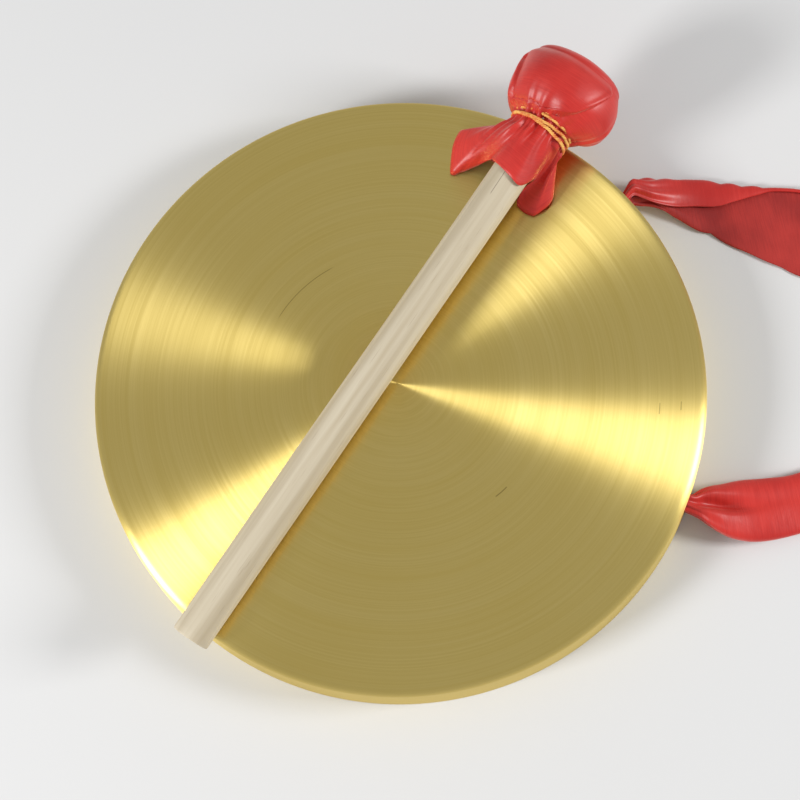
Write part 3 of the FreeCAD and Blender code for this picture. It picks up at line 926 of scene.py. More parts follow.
@dataclass(frozen=True)
class Fold:
    """A crease in the head's cover: the cloth steps down on its right side and climbs back slowly.

    The route is a list of (distance from the neck, degrees from the top towards the right).
    """

    route: tuple[tuple[float, float], ...]
    depth: float
    lip: float
    recovery: float
    start: float
    end: float

    def push(self, along: np.ndarray, turn: np.ndarray, radius: np.ndarray) -> np.ndarray:
        """How far the fold moves the cloth outwards, in millimetres."""
        middle = follow(self.route, along)
        past = np.radians(turn - middle) * radius
        reach = eased(along, self.start, self.start + 3.0) * (1 - eased(along, self.end - 4.0, self.end))
        step = -self.depth * eased(past, -0.4, 1.0) * np.exp(-np.maximum(past, 0.0) / self.recovery)
        rise = self.lip * np.exp(-((past + 1.4) / 1.6) ** 2)
        return (step + rise) * reach


@dataclass(frozen=True)
class Meridian:
    """One line of the loose cloth from the neck to its free edge: a middle point and an end.

    Points are (left, up, towards the head) from the neck, in millimetres.
    """

    turn: float
    middle: tuple[float, float, float]
    end: tuple[float, float, float]


@dataclass
class SatinCover:
    """The satin gathered over the head: a full cap, a pleated neck and a loose skirt. Millimetres."""

    # distance from the neck, radius on the right side, radius on the left side
    cap_right: tuple[tuple[float, float], ...] = (
        (-4.0, 14.2), (0.0, 14.5), (2.0, 17.4), (5.0, 21.9), (9.0, 25.8), (15.0, 28.9), (22.0, 29.2),
        (28.5, 27.4), (33.0, 23.4))
    cap_left: tuple[tuple[float, float], ...] = (
        (-4.0, 14.3), (0.0, 16.2), (2.0, 20.0), (5.0, 23.4), (9.0, 25.8), (15.0, 27.5), (22.0, 27.9),
        (28.5, 27.0), (33.0, 23.4))
    cap_up: tuple[tuple[float, float], ...] = (
        (-4.0, 14.3), (0.0, 14.7), (2.0, 17.4), (5.0, 21.0), (9.0, 24.0), (15.0, 26.0), (22.0, 25.8),
        (28.5, 23.8), (33.0, 19.4))
    cap_down: tuple[tuple[float, float], ...] = (
        (-4.0, 14.3), (0.0, 14.6), (2.0, 16.2), (5.0, 19.0), (9.0, 21.5), (15.0, 23.6), (22.0, 24.0),
        (28.5, 22.4), (33.0, 18.6))
    cap_end: float = 40.2
    creases: tuple[Fold, ...] = (
        Fold(((2.0, -4.0), (6.4, 27.0), (15.4, 42.0), (27.5, 56.0)), 2.6, 0.7, 17.0, -1.0, 33.0),
        Fold(((0.0, -76.0), (8.0, -63.0), (17.0, -66.0), (25.0, -76.0)), 1.5, 0.5, 6.0, -1.0, 30.0),
        Fold(((0.0, 100.0), (10.0, 112.0), (22.0, 120.0)), 1.6, 0.5, 9.0, -1.0, 26.0),
        Fold(((0.0, 176.0), (12.0, 168.0), (24.0, 172.0)), 1.5, 0.5, 10.0, -1.0, 28.0),
        Fold(((0.0, -128.0), (12.0, -134.0), (24.0, -126.0)), 1.6, 0.5, 9.0, -1.0, 28.0),
    )
    pleats: int = 19
    pleat_depth: float = 1.15
    pleat_reach: float = 6.5
    skirt: tuple[Meridian, ...] = (
        Meridian(-152, (14.0, -14.5, -10.0), (20.0, -17.0, -22.0)),
        Meridian(-124, (19.0, -11.5, -9.0), (30.0, -16.2, -19.5)),
        Meridian(-104, (22.0, -4.5, -10.0), (35.6, -12.0, -17.7)),
        Meridian(-88, (22.5, -1.0, -12.5), (35.0, -13.6, -27.0)),
        Meridian(-72, (21.0, 0.0, -16.5), (28.6, -17.0, -38.2)),
        Meridian(-54, (17.0, 4.5, -17.0), (23.9, -16.2, -34.4)),
        Meridian(-38, (13.2, 8.2, -16.5), (18.5, -12.0, -29.0)),
        Meridian(-24, (9.0, 11.0, -16.0), (13.2, -3.5, -26.0)),
        Meridian(-11, (5.0, 12.4, -16.5), (9.2, 6.0, -28.3)),
        Meridian(4, (0.0, 13.0, -17.0), (-1.7, 10.7, -31.8)),
        Meridian(19, (-5.2, 12.4, -17.5), (-8.5, 7.2, -32.6)),
        Meridian(33, (-9.3, 9.8, -14.5), (-11.9, 3.0, -25.0)),
        Meridian(46, (-11.9, 4.0, -13.0), (-10.4, -6.0, -23.0)),
        Meridian(60, (-11.6, -2.5, -14.0), (-7.2, -12.6, -28.0)),
        Meridian(75, (-12.6, -6.0, -16.0), (-8.4, -16.6, -34.4)),
        Meridian(92, (-15.2, -5.0, -15.0), (-17.2, -16.9, -35.2)),
        Meridian(106, (-15.6, -6.0, -11.5), (-21.6, -15.6, -28.0)),
        Meridian(122, (-14.6, -9.0, -9.5), (-20.6, -15.6, -20.0)),
        Meridian(145, (-11.0, -14.0, -8.0), (-12.0, -17.0, -17.0)),
        Meridian(168, (-2.0, -15.4, -9.0), (-2.0, -17.2, -20.0)),
        Meridian(188, (7.0, -15.2, -9.0), (8.0, -17.2, -21.0)),
    )
    columns: int = 336
    thickness: float = 0.32
    slack: float = 1.4
    settle_most: float = 1.3
    settle_inward: float = 0.3
    flat: tuple[float, float] = (0.12, 0.12)
    satin: Satin = field(default_factory=Satin)

    def cap_radius(self, along: np.ndarray, turn: np.ndarray) -> np.ndarray:
        """The cap's radius before its folds, from its four sides."""
        up, right = np.cos(np.radians(turn)), np.sin(np.radians(turn))
        sides = (
            (self.cap_up, np.maximum(up, 0) ** 2), (self.cap_down, np.maximum(-up, 0) ** 2),
            (self.cap_right, np.maximum(right, 0) ** 2), (self.cap_left, np.maximum(-right, 0) ** 2))
        return sum(follow(table, along) * weight for table, weight in sides)

    def pleat(self, turn: np.ndarray, along: np.ndarray) -> np.ndarray:
        """Gathers round the neck, uneven, that fade up the cap and down the skirt."""
        angle = np.radians(turn)
        uneven = angle + 0.10 * np.sin(3 * angle + 1.0) + 0.06 * np.sin(7 * angle + 2.0)
        ridge = 0.7 * np.cos(self.pleats * uneven) + 0.5 * np.cos(11 * uneven + 0.8)
        reach = self.pleat_reach * (1.0 + 0.45 * np.sin(4 * angle + 0.7) + 0.3 * np.sin(9 * angle))
        away = np.where(along > 0, along / reach, -along / (1.5 * reach))
        return self.pleat_depth * ridge * np.exp(-np.abs(away))

    def cap_rows(self, turns: np.ndarray) -> list[np.ndarray]:
        """Rings of the cap, from near its crown down to the neck."""
        rows = []
        crown = 20
        edge = self.cap_right[-1][0]
        for step in range(1, crown):
            share = math.sin(math.pi / 2 * step / crown)
            along = np.full(len(turns), edge + (self.cap_end - edge) * math.cos(math.pi / 2 * step / crown))
            base = self.cap_radius(np.full(len(turns), edge), turns)
            rows.append(self.ring(turns, along, base * share, share))
        for along in np.concatenate([np.linspace(edge, 6.0, 34), np.linspace(5.4, -4.0, 24)]):
            places = np.full(len(turns), along)
            rows.append(self.ring(turns, places, self.cap_radius(places, turns), 1.0))
        return rows

    def ring(self, turns: np.ndarray, along: np.ndarray, radius: np.ndarray, share: float) -> np.ndarray:
        """One ring of the cap with its pleats and folds."""
        angle = np.radians(turns)
        soft = 0.35 * np.sin(3 * angle + along / 9.0) + 0.3 * np.sin(5 * angle - along / 6.0 + 1.0)
        push = self.pleat(turns, along) + soft * eased(along, 2.0, 12.0) * share
        for crease in self.creases:
            push = push + crease.push(along, turns, radius) * share
        out = radius + push
        return np.stack([-out * np.sin(angle), out * np.cos(angle), along], axis=1)

    def skirt_rows(self, turns: np.ndarray, neck: np.ndarray) -> list[np.ndarray]:
        """Rings of the loose cloth, from the neck to its free edge."""
        lines = sorted(self.skirt, key=lambda line: line.turn)
        knots = np.array([[line.turn, *line.middle, *line.end] for line in lines])
        smooth = through(np.concatenate([knots, knots[:1] + [[360.0] + [0.0] * 6]]), 14)
        wanted = (turns - knots[0, 0]) % 360.0 + knots[0, 0]
        shape = np.stack([np.interp(wanted, smooth[:, 0], smooth[:, i]) for i in range(1, 7)], axis=1)
        rows = []
        steps = 26
        angle = np.radians(turns)
        first = neck + np.array([0.0, 0.0, -2.6])
        for step in range(1, steps + 1):
            share = step / steps
            a, b, c = (1 - share) ** 2, 2 * share * (1 - share), share ** 2
            middle = 2 * shape[:, 0:3] - (first + shape[:, 3:6]) / 2
            row = a * first + b * middle + c * shape[:, 3:6]
            wave = np.sin(9 * angle + 1.3) * 0.5 + np.sin(15 * angle + 4.0) * 0.35
            lift = wave * math.sin(math.pi * share) * 0.9
            flat = np.stack([-np.sin(angle), np.cos(angle), np.zeros(len(turns))], axis=1)
            row = row + flat * (lift + self.pleat(turns, np.full(len(turns), -2.6 - 20 * share)))[:, None]
            rows.append(self.clear_of_stick(row))
        return rows

    @staticmethod
    def clear_of_stick(row: np.ndarray) -> np.ndarray:
        """Push cloth out of the dowel and up off the plate."""
        keep = 10.3
        off = np.hypot(row[:, 0], row[:, 1])
        push = np.maximum(keep / np.maximum(off, 1e-6), 1.0)
        row = row.copy()
        row[:, 0] *= push
        row[:, 1] *= push
        row[:, 1] = np.maximum(row[:, 1], -17.3)
        return row

    def build(self, place: Frame) -> bpy.types.Object:
        """Make the cover as one sheet, settle its cap by simulation, thicken it and dress it."""
        turns = np.linspace(-180.0, 180.0, self.columns, endpoint=False)
        rows = self.cap_rows(turns)
        cap_count = len(rows)
        rows += self.skirt_rows(turns, rows[-1])
        count = len(turns)
        points = np.concatenate(rows + [np.array([[0.0, 0.0, self.cap_end]])])
        faces: list[tuple[int, ...]] = grid_faces(len(rows), count, True)
        faces += [(len(points) - 1, (n + 1) % count, n) for n in range(count)]
        depth = np.concatenate([np.full(count, float(n)) for n in range(len(rows))] + [[0.0]])
        across = np.concatenate([np.tile(turns / 360.0 * 0.14, len(rows)), [0.0]])
        uvs = np.stack([across, depth * 0.0011], axis=1)
        cover = outward(mesh_object("satin_cover_cloth", points, faces, place.matrix, uvs))
        self.puff(cover, cap_count * count)
        dress(cover, self.satin.make("red_satin_cover"), self.satin.make("red_satin_cover_back", True))
        thicken(cover, self.thickness, 0, inner=1)
        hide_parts("satin_cover")
        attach(cover, "mallet")
        return cover

    def wadding(self, place: Frame, cotton: Cotton) -> bpy.types.Object:
        """Make the cotton that fills the cap, a little smaller than the cover all over."""
        turns = np.linspace(-180.0, 180.0, 96, endpoint=False)
        rows = []
        for row in self.cap_rows(turns):
            along = row[:, 2].mean()
            if along < 1.5:
                continue
            reach = np.maximum(np.hypot(row[:, 0], row[:, 1]), 1.5 * self.slack)
            flat = row[:, :2] * (1.0 - self.slack / reach)[:, None]
            rows.append(np.concatenate([flat, np.minimum(row[:, 2:], self.cap_end - self.slack)], axis=1))
        count = len(turns)
        poles = np.array([[0, 0, self.cap_end - self.slack], [0, 0, rows[-1][0, 2]]])
        points = np.concatenate(rows + [poles])
        faces: list[tuple[int, ...]] = grid_faces(len(rows), count, True)
        base = (len(rows) - 1) * count
        faces += [(len(points) - 2, (n + 1) % count, n) for n in range(count)]
        faces += [(len(points) - 1, base + n, base + (n + 1) % count) for n in range(count)]
        wadding = outward(mesh_object("cotton_wadding", points, faces, place.matrix))
        dress(wadding, cotton.make("cotton_wadding"))
        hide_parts("head_wadding")
        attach(wadding, "mallet")
        return wadding

    def puff(self, cover: bpy.types.Object, free: int) -> None:
        """Let the cap's cloth settle under a little pressure, its neck and skirt held.

        Args:
            cover: The sheet.
            free: How many points, from the crown on, belong to the cap and neck.
        """
        rest = np.array([v.co for v in cover.data.vertices])
        held = cover.vertex_groups.new(name="held")
        rows = free // self.columns
        for number in range(len(rest) - 1):
            row = number // self.columns
            weight = float(eased(row, rows - 22.0, rows - 10.0)) if row < rows else 1.0
            held.add([number], weight, "REPLACE")
        cloth = cover.modifiers.new("cloth", "CLOTH")
        values = cloth.settings
        values.vertex_group_mass = held.name
        values.quality, values.mass = 6, 0.15
        values.tension_stiffness = values.compression_stiffness = 12.0
        values.shear_stiffness, values.bending_stiffness = 6.0, 0.4
        values.shrink_min = values.shrink_max = -0.03
        middle = rest[:free].mean(axis=0)
        faces = [f for f in cover.data.polygons if max(f.vertices) < free]
        facing = sum(float(f.normal.dot(f.center - Vector(middle))) for f in faces)
        values.use_pressure, values.uniform_pressure_force = True, math.copysign(2.5, facing)
        values.effector_weights.gravity = 0.0
        cloth.point_cache.frame_start, cloth.point_cache.frame_end = 1, 20
        scene = bpy.context.scene
        for number in range(1, 17):
            scene.frame_set(number)
        graph = bpy.context.evaluated_depsgraph_get()
        moved = np.array([v.co for v in cover.evaluated_get(graph).data.vertices])
        cover.modifiers.clear()
        scene.frame_set(1)
        shift = moved - rest
        size = np.linalg.norm(shift, axis=1, keepdims=True)
        shift *= np.minimum(1.0, self.settle_most * MM / np.maximum(size, 1e-12))
        way = rest - middle
        way /= np.maximum(np.linalg.norm(way, axis=1, keepdims=True), 1e-9)
        inward = np.minimum((shift * way).sum(axis=1, keepdims=True) + self.settle_inward * MM, 0.0)
        shift -= way * inward
        cover.data.vertices.foreach_set("co", (rest + shift).ravel())
        cover.data.update()
        log.info("cover settled, at most %.1f mm", float(size.max()) / MM)


@dataclass
class NeckBands:
    """The elastic threads wound round the neck: each a pair of strands twisted together. Millimetres."""

    count: int = 4
    radius: float = 15.6
    pitch: float = 1.9
    strand: float = 0.46
    twist: float = 0.42
    twists: int = 34
    ring_points: int = 260
    sway: float = 1.05
    wander: float = 0.7
    seed: int = 5
    elastic: Elastic = field(default_factory=Elastic)

    def band(self, number: int, finish: bpy.types.Material, place: Frame) -> bpy.types.Object:
        """Wind one band, the first nearest the stick."""
        recipe = Recipe(f"wound_thread_{number}")
        radius = recipe.given("Radius", "Float", self.radius)
        strand = recipe.given("Strand radius", "Float", self.strand)
        twists = recipe.given("Twists", "Float", float(self.twists + 3 * number))
        along = recipe.given("Along", "Float", (number - (self.count + 1) / 2) * self.pitch)
        sway = recipe.given("Sway", "Float", self.sway)
        wander = recipe.given("Wander", "Float", self.wander)
        seed = recipe.given("Seed", "Float", float(self.seed + 7 * number))
        profile = recipe.add("GeometryNodeCurvePrimitiveCircle", inputs={"Resolution": 8, "Radius": strand})
        turn = recipe.maths(
            "MULTIPLY", recipe.add("GeometryNodeSplineParameter", output="Factor"), 2 * math.pi)
        spot = recipe.add("GeometryNodeInputPosition")
        lean = recipe.maths("SINE", recipe.maths("ADD", turn, 1.9 * number))
        loose = recipe.add("ShaderNodeTexNoise", {"noise_dimensions": "4D"}, {
            "Vector": spot, "W": seed, "Scale": 0.16, "Detail": 1.0})
        drift = recipe.maths("MULTIPLY", recipe.maths("SUBTRACT", loose, 0.5), wander)
        middle = recipe.maths(
            "ADD", along, recipe.maths("MULTIPLY_ADD", lean, sway, recipe.maths("MULTIPLY", drift, 2.0)))
        strands = []
        for phase in (0.0, math.pi):
            angle = recipe.maths("MULTIPLY_ADD", turn, twists, phase)
            rise = recipe.maths("MULTIPLY_ADD", recipe.maths("SINE", angle), self.twist, middle)
            swell = recipe.maths("MULTIPLY_ADD", recipe.maths("COSINE", angle), self.twist, radius)
            swell = recipe.maths("ADD", swell, drift)
            place_on = recipe.add("ShaderNodeCombineXYZ", inputs={
                0: recipe.maths("MULTIPLY", swell, recipe.maths("COSINE", turn)),
                1: recipe.maths("MULTIPLY", swell, recipe.maths("SINE", turn)), 2: rise})
            ring = recipe.add(
                "GeometryNodeCurvePrimitiveCircle", inputs={"Resolution": self.ring_points, "Radius": radius})
            wound = recipe.add("GeometryNodeSetPosition", inputs={"Geometry": ring, "Position": place_on})
            strands.append(recipe.add("GeometryNodeCurveToMesh", inputs={0: wound, "Profile Curve": profile}))
        joined = recipe.add("GeometryNodeJoinGeometry", inputs={0: strands})
        return recipe.make(f"twisted_band_{number}", joined, finish, place.matrix)

    def build(self, place: Frame) -> list[bpy.types.Object]:
        """Wind every band."""
        finish = self.elastic.make("twisted_elastic")
        made = []
        for number in range(1, self.count + 1):
            band = self.band(number, finish, place)
            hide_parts(f"elastic_band_{number}")
            made.append(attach(band, "mallet"))
        return made


# ---------------------------------------------------------------- the sash


class Lie(Enum):
    """How the strip's section lies at a station."""

    FOLDED = "folded over on top of itself"
    TUBE = "rolled into a soft tube"
    ROPE = "bunched up"


@dataclass(frozen=True)
class Station:
    """A place along the sash, where its strip has a section of its own. Millimetres and degrees.

    out and aside are the section's middle, from the gong's axis, in the sash's frame. half is half
    its width, rest the height of its underside over the floor, and turn its heading there.
    """

    lie: Lie
    out: float
    aside: float
    half: float
    height: float
    rest: float
    turn: float
    free: float = 0.0
    dent: float = 0.0
    dent_at: float = 0.0
    start: float = 100.0


@dataclass
class Sash:
    """The satin strip: through both rim holes, out into a hand loop, knotted, with two free ends."""

    strip_width: float = 65.0
    thickness: float = 0.32
    points_across: int = 72
    steps: int = 8
    swing_out: float = 136.0
    strand_start: float = 82.37
    pleat_depth: float = 0.65
    pleats: int = 7
    # out from the swing line, top edge, low edge, free edge, height, rest, heading
    upper: tuple[tuple[float, ...], ...] = (
        (-3.0, 7.2, -3.6, -1.6, 9.0, 9.6, 0.0), (1.0, 8.2, -4.4, -2.6, 8.6, 8.6, 0.0),
        (8.0, 8.4, -5.2, -5.6, 7.8, 6.6, 0.0),
        (18.0, 8.7, -12.2, -7.6, 6.2, 3.0, 0.0), (29.0, 7.0, -20.6, -8.4, 5.0, 1.2, 0.0),
        (40.0, 4.6, -28.2, -9.8, 4.4, 0.5, 0.0), (50.0, 1.7, -35.6, -8.6, 4.0, 0.5, 0.0),
        (61.0, -1.6, -43.6, -7.2, 3.4, 0.5, 0.0), (72.0, -4.4, -51.4, -6.6, 2.8, 0.5, 0.0),
        (86.0, -10.0, -60.0, -12.0, 2.6, 0.5, -12.0), (108.0, -26.0, -73.0, -29.0, 3.0, 0.5, -26.0),
        (132.0, -49.0, -87.0, -54.0, 4.2, 0.5, -36.0), (152.0, -71.0, -97.0, -76.0, 6.0, 1.2, -40.0),
        (166.0, -90.0, -106.0, -94.0, 8.0, 4.0, -40.0), (178.0, -103.4, -115.4, -106.0, 9.0, 6.6, -34.0))
    # out from the swing line, top edge, low edge, height, rest, heading, dent depth, dent place
    lower: tuple[tuple[float, ...], ...] = (
        (-3.0, 7.9, -3.4, 8.8, 9.4, 0.0, 2.6, 2.6), (1.0, 9.7, -7.4, 9.2, 8.0, 0.0, 5.0, 2.4),
        (6.0, 10.9, -11.8, 10.0, 6.0, 0.0, 6.2, 1.4),
        (12.0, 11.4, -15.4, 11.0, 3.2, 0.0, 5.6, -0.2), (22.0, 12.2, -18.3, 11.0, 0.7, 0.0, 2.2, -1.5),
        (34.0, 11.4, -18.8, 9.6, 0.5, 0.0, 0.6, -1.0), (50.0, 11.4, -17.0, 7.6, 0.5, 2.0, 0.3, -1.0),
        (75.0, 17.0, -12.0, 6.4, 0.5, 10.0, 0.8, 3.0), (102.0, 25.5, -5.0, 6.0, 0.5, 19.0, 1.4, 10.0),
        (130.0, 36.5, 11.0, 6.6, 0.6, 26.0, 1.4, 24.0), (152.0, 43.0, 22.5, 7.6, 2.0, 22.0, 1.0, 33.0),
        (166.0, 45.5, 31.0, 8.4, 4.4, 14.0, 0.6, 38.0), (178.0, 45.6, 33.6, 9.0, 6.6, 6.0, 0.3, 39.4))
    # out, aside, heading of travel from the upper hole to the lower one
    span: tuple[tuple[float, float, float], ...] = (
        (128.4, 77.8, 211.2), (123.9, 75.0, 213.0), (120.9, 71.9, 240.0), (119.5, 66.8, 266.0),
        (119.6, 46.0, 270.0), (119.3, 16.0, 270.0), (119.7, -16.0, 270.0), (119.5, -46.0, 270.0),
        (119.5, -66.8, 274.0), (120.9, -71.9, 300.0), (123.9, -75.0, 327.0), (128.4, -77.8, 328.8))
    rope_radius: float = 3.9
    loose_height: float = 5.6
    knot_out: float = 314.0
    knot_aside: float = -35.0
    knot_half: tuple[float, float, float] = (17.0, 14.6, 11.0)
    tail_length: float = 78.0
    satin: Satin = field(default_factory=Satin)

    def frame_from(self, joint: dict[str, Any]) -> Frame:
        """The sash's frame, from the line it swings about: X out between the holes, on the floor."""
        line = Vector(joint["axis"]).normalized()
        out = line.cross(Vector((0, 0, -1))).normalized()
        out = out if out.x > 0 else -out
        turn = Matrix((out, Vector((0, 0, 1)).cross(out), Vector((0, 0, 1)))).transposed()
        return Frame(Vector((0, 0, 0)), turn)

    def stations(self) -> list[Station]:
        """The strip's stations from the knot, through both holes, and back to the knot."""
        made = []
        for out, top, low, free, height, rest, turn in reversed(self.upper):
            made.append(Station(
                Lie.FOLDED, self.swing_out + out, self.strand_start + (top + low) / 2, (top - low) / 2,
                height, rest, 180.0 + turn, free=(top - free)))
        last = len(self.span) - 1
        for number, (out, aside, turn) in enumerate(self.span):
            loose = math.sin(math.pi * number / last) ** 2
            tall = self.rope_radius + (self.loose_height - self.rope_radius) * loose
            start = 100.0 - 190.0 * number / last
            made.append(Station(
                Lie.ROPE, out, aside, self.rope_radius * (1 - 0.15 * loose), 2 * tall, 14.0 - tall, turn,
                start=start))
        for out, top, low, height, rest, turn, dent, dent_at in self.lower:
            made.append(Station(
                Lie.TUBE, self.swing_out + out, -self.strand_start + (top + low) / 2, (top - low) / 2,
                height, rest, turn, dent=dent, dent_at=(top + low) / 2 - dent_at, start=-90.0))
        return made

    def folded(self, station: Station) -> np.ndarray:
        """A section that runs from its free edge, over the top fold, back below and under itself."""
        half, height, rest = station.half, station.height, station.rest
        free = half - station.free
        under = max(self.strip_width - station.free - 2 * half, 3.0)
        tuck = min(under, 1.7 * half)
        line = [
            (free, rest + 0.80 * height), (free + 0.35 * station.free, rest + 0.98 * height),
            (half - 0.18 * station.free, rest + 0.86 * height), (half, rest + 0.50 * height),
            (half - 0.10 * half, rest + 0.26 * height), (0.35 * half, rest + 0.22 * height),
            (-0.35 * half, rest + 0.30 * height), (-0.88 * half, rest + 0.24 * height),
            (-half, rest + 0.14 * height), (-0.88 * half, rest + 0.04 * height),
            (-half + tuck, rest + 0.02 * height)]
        return evenly(through(line, 10), self.points_across)

    def rolled(self, station: Station) -> np.ndarray:
        """A section that runs round a rope or a soft tube, with a dent in its top."""
        share = np.linspace(0.0, 1.0, self.points_across)
        angle = np.radians(station.start - 360.0 * share)
        side, lift = np.cos(angle), np.sin(angle)
        across = station.half * np.sign(side) * np.abs(side) ** 0.92
        past = across - station.dent_at
        width = np.where(past > 0, 2.0, 4.2)
        dent = station.dent * np.exp(-(past / width) ** 2) * eased(lift, 0.0, 0.5)
        tall = station.height / 2
        up = station.rest + tall + tall * np.sign(lift) * np.abs(lift) ** 0.85 - dent
        return np.stack([across, up], axis=1)

    def section(self, station: Station) -> np.ndarray:
        """A station's section in the sash's frame, with its pleats."""
        flat = self.folded(station) if station.lie is Lie.FOLDED else self.rolled(station)
        share = np.linspace(0.0, 1.0, self.points_across)
        bunched = 1.0 - float(eased(station.half, 6.0, 15.0))
        wave = np.sin(2 * math.pi * self.pleats * share) + 0.5 * np.sin(2 * math.pi * 4 * share + 1.0)
        normal = np.gradient(flat, axis=0)
        normal = np.stack([normal[:, 1], -normal[:, 0]], axis=1)
        normal /= np.maximum(np.linalg.norm(normal, axis=1, keepdims=True), 1e-9)
        flat = flat + normal * (wave * self.pleat_depth * (0.12 + 0.88 * bunched))[:, None]
        flat[:, 1] = np.maximum(flat[:, 1], 0.45)
        heading = math.radians(station.turn)
        right = np.array([math.sin(heading), -math.cos(heading)])
        middle = np.array([station.out, station.aside])
        level = middle + flat[:, :1] * right
        return np.concatenate([level, flat[:, 1:]], axis=1)

    def strip(self, place: Frame, finishes: Sequence[bpy.types.Material]) -> bpy.types.Object:
        """Lay the strip through its stations as one sheet."""
        rows = np.stack([self.section(station).ravel() for station in self.stations()])
        surface = through(rows, self.steps).reshape(-1, self.points_across, 3)
        surface[..., 2] = np.maximum(surface[..., 2], 0.45)
        points = surface.reshape(-1, 3)
        middle = surface.mean(axis=1)
        along = np.concatenate([[0.0], np.cumsum(np.linalg.norm(np.diff(middle, axis=0), axis=1))])
        share = np.linspace(0.0, self.strip_width, self.points_across)
        uvs = np.stack([
            np.tile(share, len(along)), np.repeat(along, self.points_across)], axis=1) * MM
        faces = grid_faces(len(along), self.points_across, False)
        strip = mesh_object("satin_sash_strip", points, faces, place.matrix, uvs)
        dress(strip, *finishes)
        thicken(strip, self.thickness, 0, inner=1)
        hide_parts("sash_inner_span", "sash_upper_strand", "sash_lower_strand")
        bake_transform(strip)
        return strip

    def knot(self, place: Frame, finishes: Sequence[bpy.types.Material]) -> bpy.types.Object:
        """Make the knot: cloth wound over itself in slanting folds, flat where it lies."""
        rings, sides = 84, 128
        along = np.linspace(0.0, math.pi, rings)[1:-1]
        angle = np.linspace(0.0, 2 * math.pi, sides, endpoint=False)
        long, wide, tall = self.knot_half
        rows = []
        for turn in along:
            reach = math.cos(turn)
            size = math.sin(turn) ** 0.72
            slant = angle + 1.9 * reach
            band = np.exp(-((((slant + 0.6) % (2 * math.pi)) - 3.1) / 0.95) ** 2)
            folds = 0.55 * np.sin(7 * slant + 3.0 * reach) + 0.35 * np.sin(12 * angle - 5.0 * reach)
            groove = -1.7 * np.exp(-((((2 * angle - 3.6 * reach) % (2 * math.pi)) - 3.1) / 0.28) ** 2)
            swell = 1.0 + (1.5 * band + folds + groove) / wide * min(1.0, 2.2 * size)
            rows.append(np.stack([
                np.full(sides, long * reach * 1.04), wide * size * np.cos(angle) * swell,
                tall * size * np.sin(angle) * swell], axis=1))
        points = np.concatenate(rows + [np.array([[long * 1.02, 0, 0], [-long * 1.02, 0, 0]])])
        points += np.array([self.knot_out, self.knot_aside, tall + 0.3])
        points[:, 2] = np.maximum(points[:, 2], 0.35)
        faces: list[tuple[int, ...]] = grid_faces(len(rows), sides, True)
        first, last = len(points) - 2, len(points) - 1
        base = (len(rows) - 1) * sides
        faces += [(first, (n + 1) % sides, n) for n in range(sides)]
        faces += [(last, base + n, base + (n + 1) % sides) for n in range(sides)]
        uvs = points[:, :2] * MM
        knot = outward(mesh_object("satin_knot", points, faces, place.matrix, uvs))
        dress(knot, finishes[0])
        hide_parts("sash_knot")
        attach(knot, "sash_loop")
        return knot

    def tail(self, name: str, node: str, side: int, heading: float, place: Frame,
             finishes: Sequence[bpy.types.Material]) -> bpy.types.Object:
        """Spread one free end on the floor in soft waves, cut slanting.

        Args:
            name: The piece's name.
            node: The solid it stands for.
            side: 1 for the upper end, -1 for the lower.
            heading: Its direction, in degrees from the sash's own.
            place: The sash's frame.
            finishes: The satin's face and back.

        Returns:
            The piece.
        """
        rows, columns = 54, 72
        turn = math.radians(heading)
        forward = np.array([math.cos(turn), math.sin(turn)])
        right = np.array([-forward[1], forward[0]])
        start = np.array([self.knot_out + 9.0, self.knot_aside + side * 7.0])
        share = np.linspace(-1.0, 1.0, columns)
        lines = []
        for row in range(rows):
            go = row / (rows - 1)
            half = 6.0 + 16.0 * float(eased(go, 0.0, 0.75))
            length = (self.tail_length - 6.0 + 7.0 * share) * go
            bend = side * 7.0 * go * go
            level = start + forward * length[:, None] + right * (share * half + bend)[:, None]
            rest = 8.5 * (1 - float(eased(go, 0.0, 0.34))) + 0.5
            deep = 4.0 * (1 - 0.38 * go)
            wave = np.sin(share * 9.4 + 1.2 * side + 1.6 * go) + 0.5 * np.sin(share * 16.0 - 2.0 * go)
            up = rest + deep * (wave + 1.4) * (0.75 + 0.25 * share)
            lines.append(np.concatenate([level, np.maximum(up, 0.45)[:, None]], axis=1))
        points = np.concatenate(lines)
        uvs = np.stack([np.tile(share * 32.5, rows), np.repeat(np.linspace(0, 80, rows), columns)], axis=1)
        tail = mesh_object(name, points, grid_faces(rows, columns, False), place.matrix, uvs * MM)
        dress(tail, *finishes)
        thicken(tail, self.thickness, 1, inner=1)
        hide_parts(node)
        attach(tail, "sash_loop")
        return tail

    def build(self) -> list[bpy.types.Object]:
        """Make the strip, the knot and both free ends."""
        joint = next(j for j in frame["joints"] if j["name"] == "sash_swing")
        place = self.frame_from(joint)
        finishes = (self.satin.make("red_satin_sash"), self.satin.make("red_satin_sash_back", True))
        return [
            self.strip(place, finishes),
            self.knot(place, finishes),
            self.tail("satin_tail_upper", "sash_tail_upper", 1, 16.0, place, finishes),
            self.tail("satin_tail_lower", "sash_tail_lower", -1, -24.0, place, finishes),
        ]


# ---------------------------------------------------------------- assembly


def dress_node(node: bpy.types.Object, finish: bpy.types.Material) -> None:
    """Give a solid of the frame its finish, its mesh left as it is."""
    for number in range(max(len(node.material_slots), 1)):
        if not node.material_slots:
            node.data.materials.append(finish)
        node.material_slots[number].material = finish


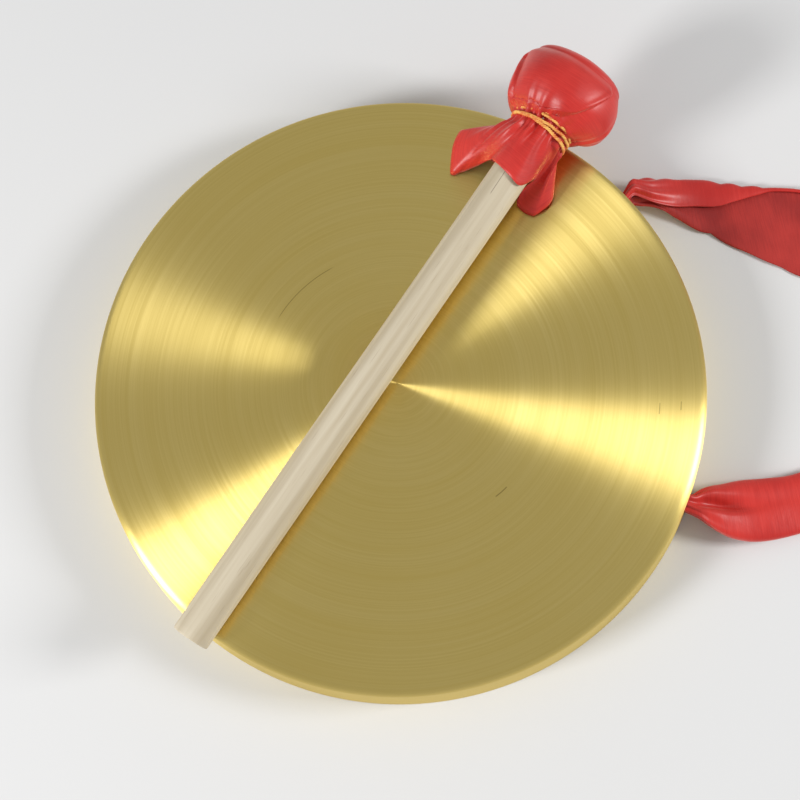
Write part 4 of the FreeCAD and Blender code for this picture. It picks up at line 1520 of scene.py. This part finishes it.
def main() -> None:
    """Build every piece in order."""
    logging.basicConfig(level=logging.INFO, format="%(name)s: %(message)s")
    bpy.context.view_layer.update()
    Studio().build()
    log.info("studio ready")
    plate = GongPlate().build()
    log.info("%s: %d faces", plate.name, len(plate.data.polygons))
    mallet = Mallet()
    place = mallet.frame_from(frame["nodes"]["mallet_stick"])
    stick = mallet.stick(place)
    log.info("%s: %d faces", stick.name, len(stick.data.polygons))
    head = SatinCover()
    pieces = [head.build(place), head.wadding(place, Cotton())]
    pieces += NeckBands().build(place)
    pieces += Sash().build()
    for piece in pieces:
        log.info("%s: %d faces", piece.name, len(piece.data.polygons))
    core = frame["nodes"]["head_core"]
    dress_node(core, Cotton().make("wound_cloth"))


if __name__ == "__main__":
    main()
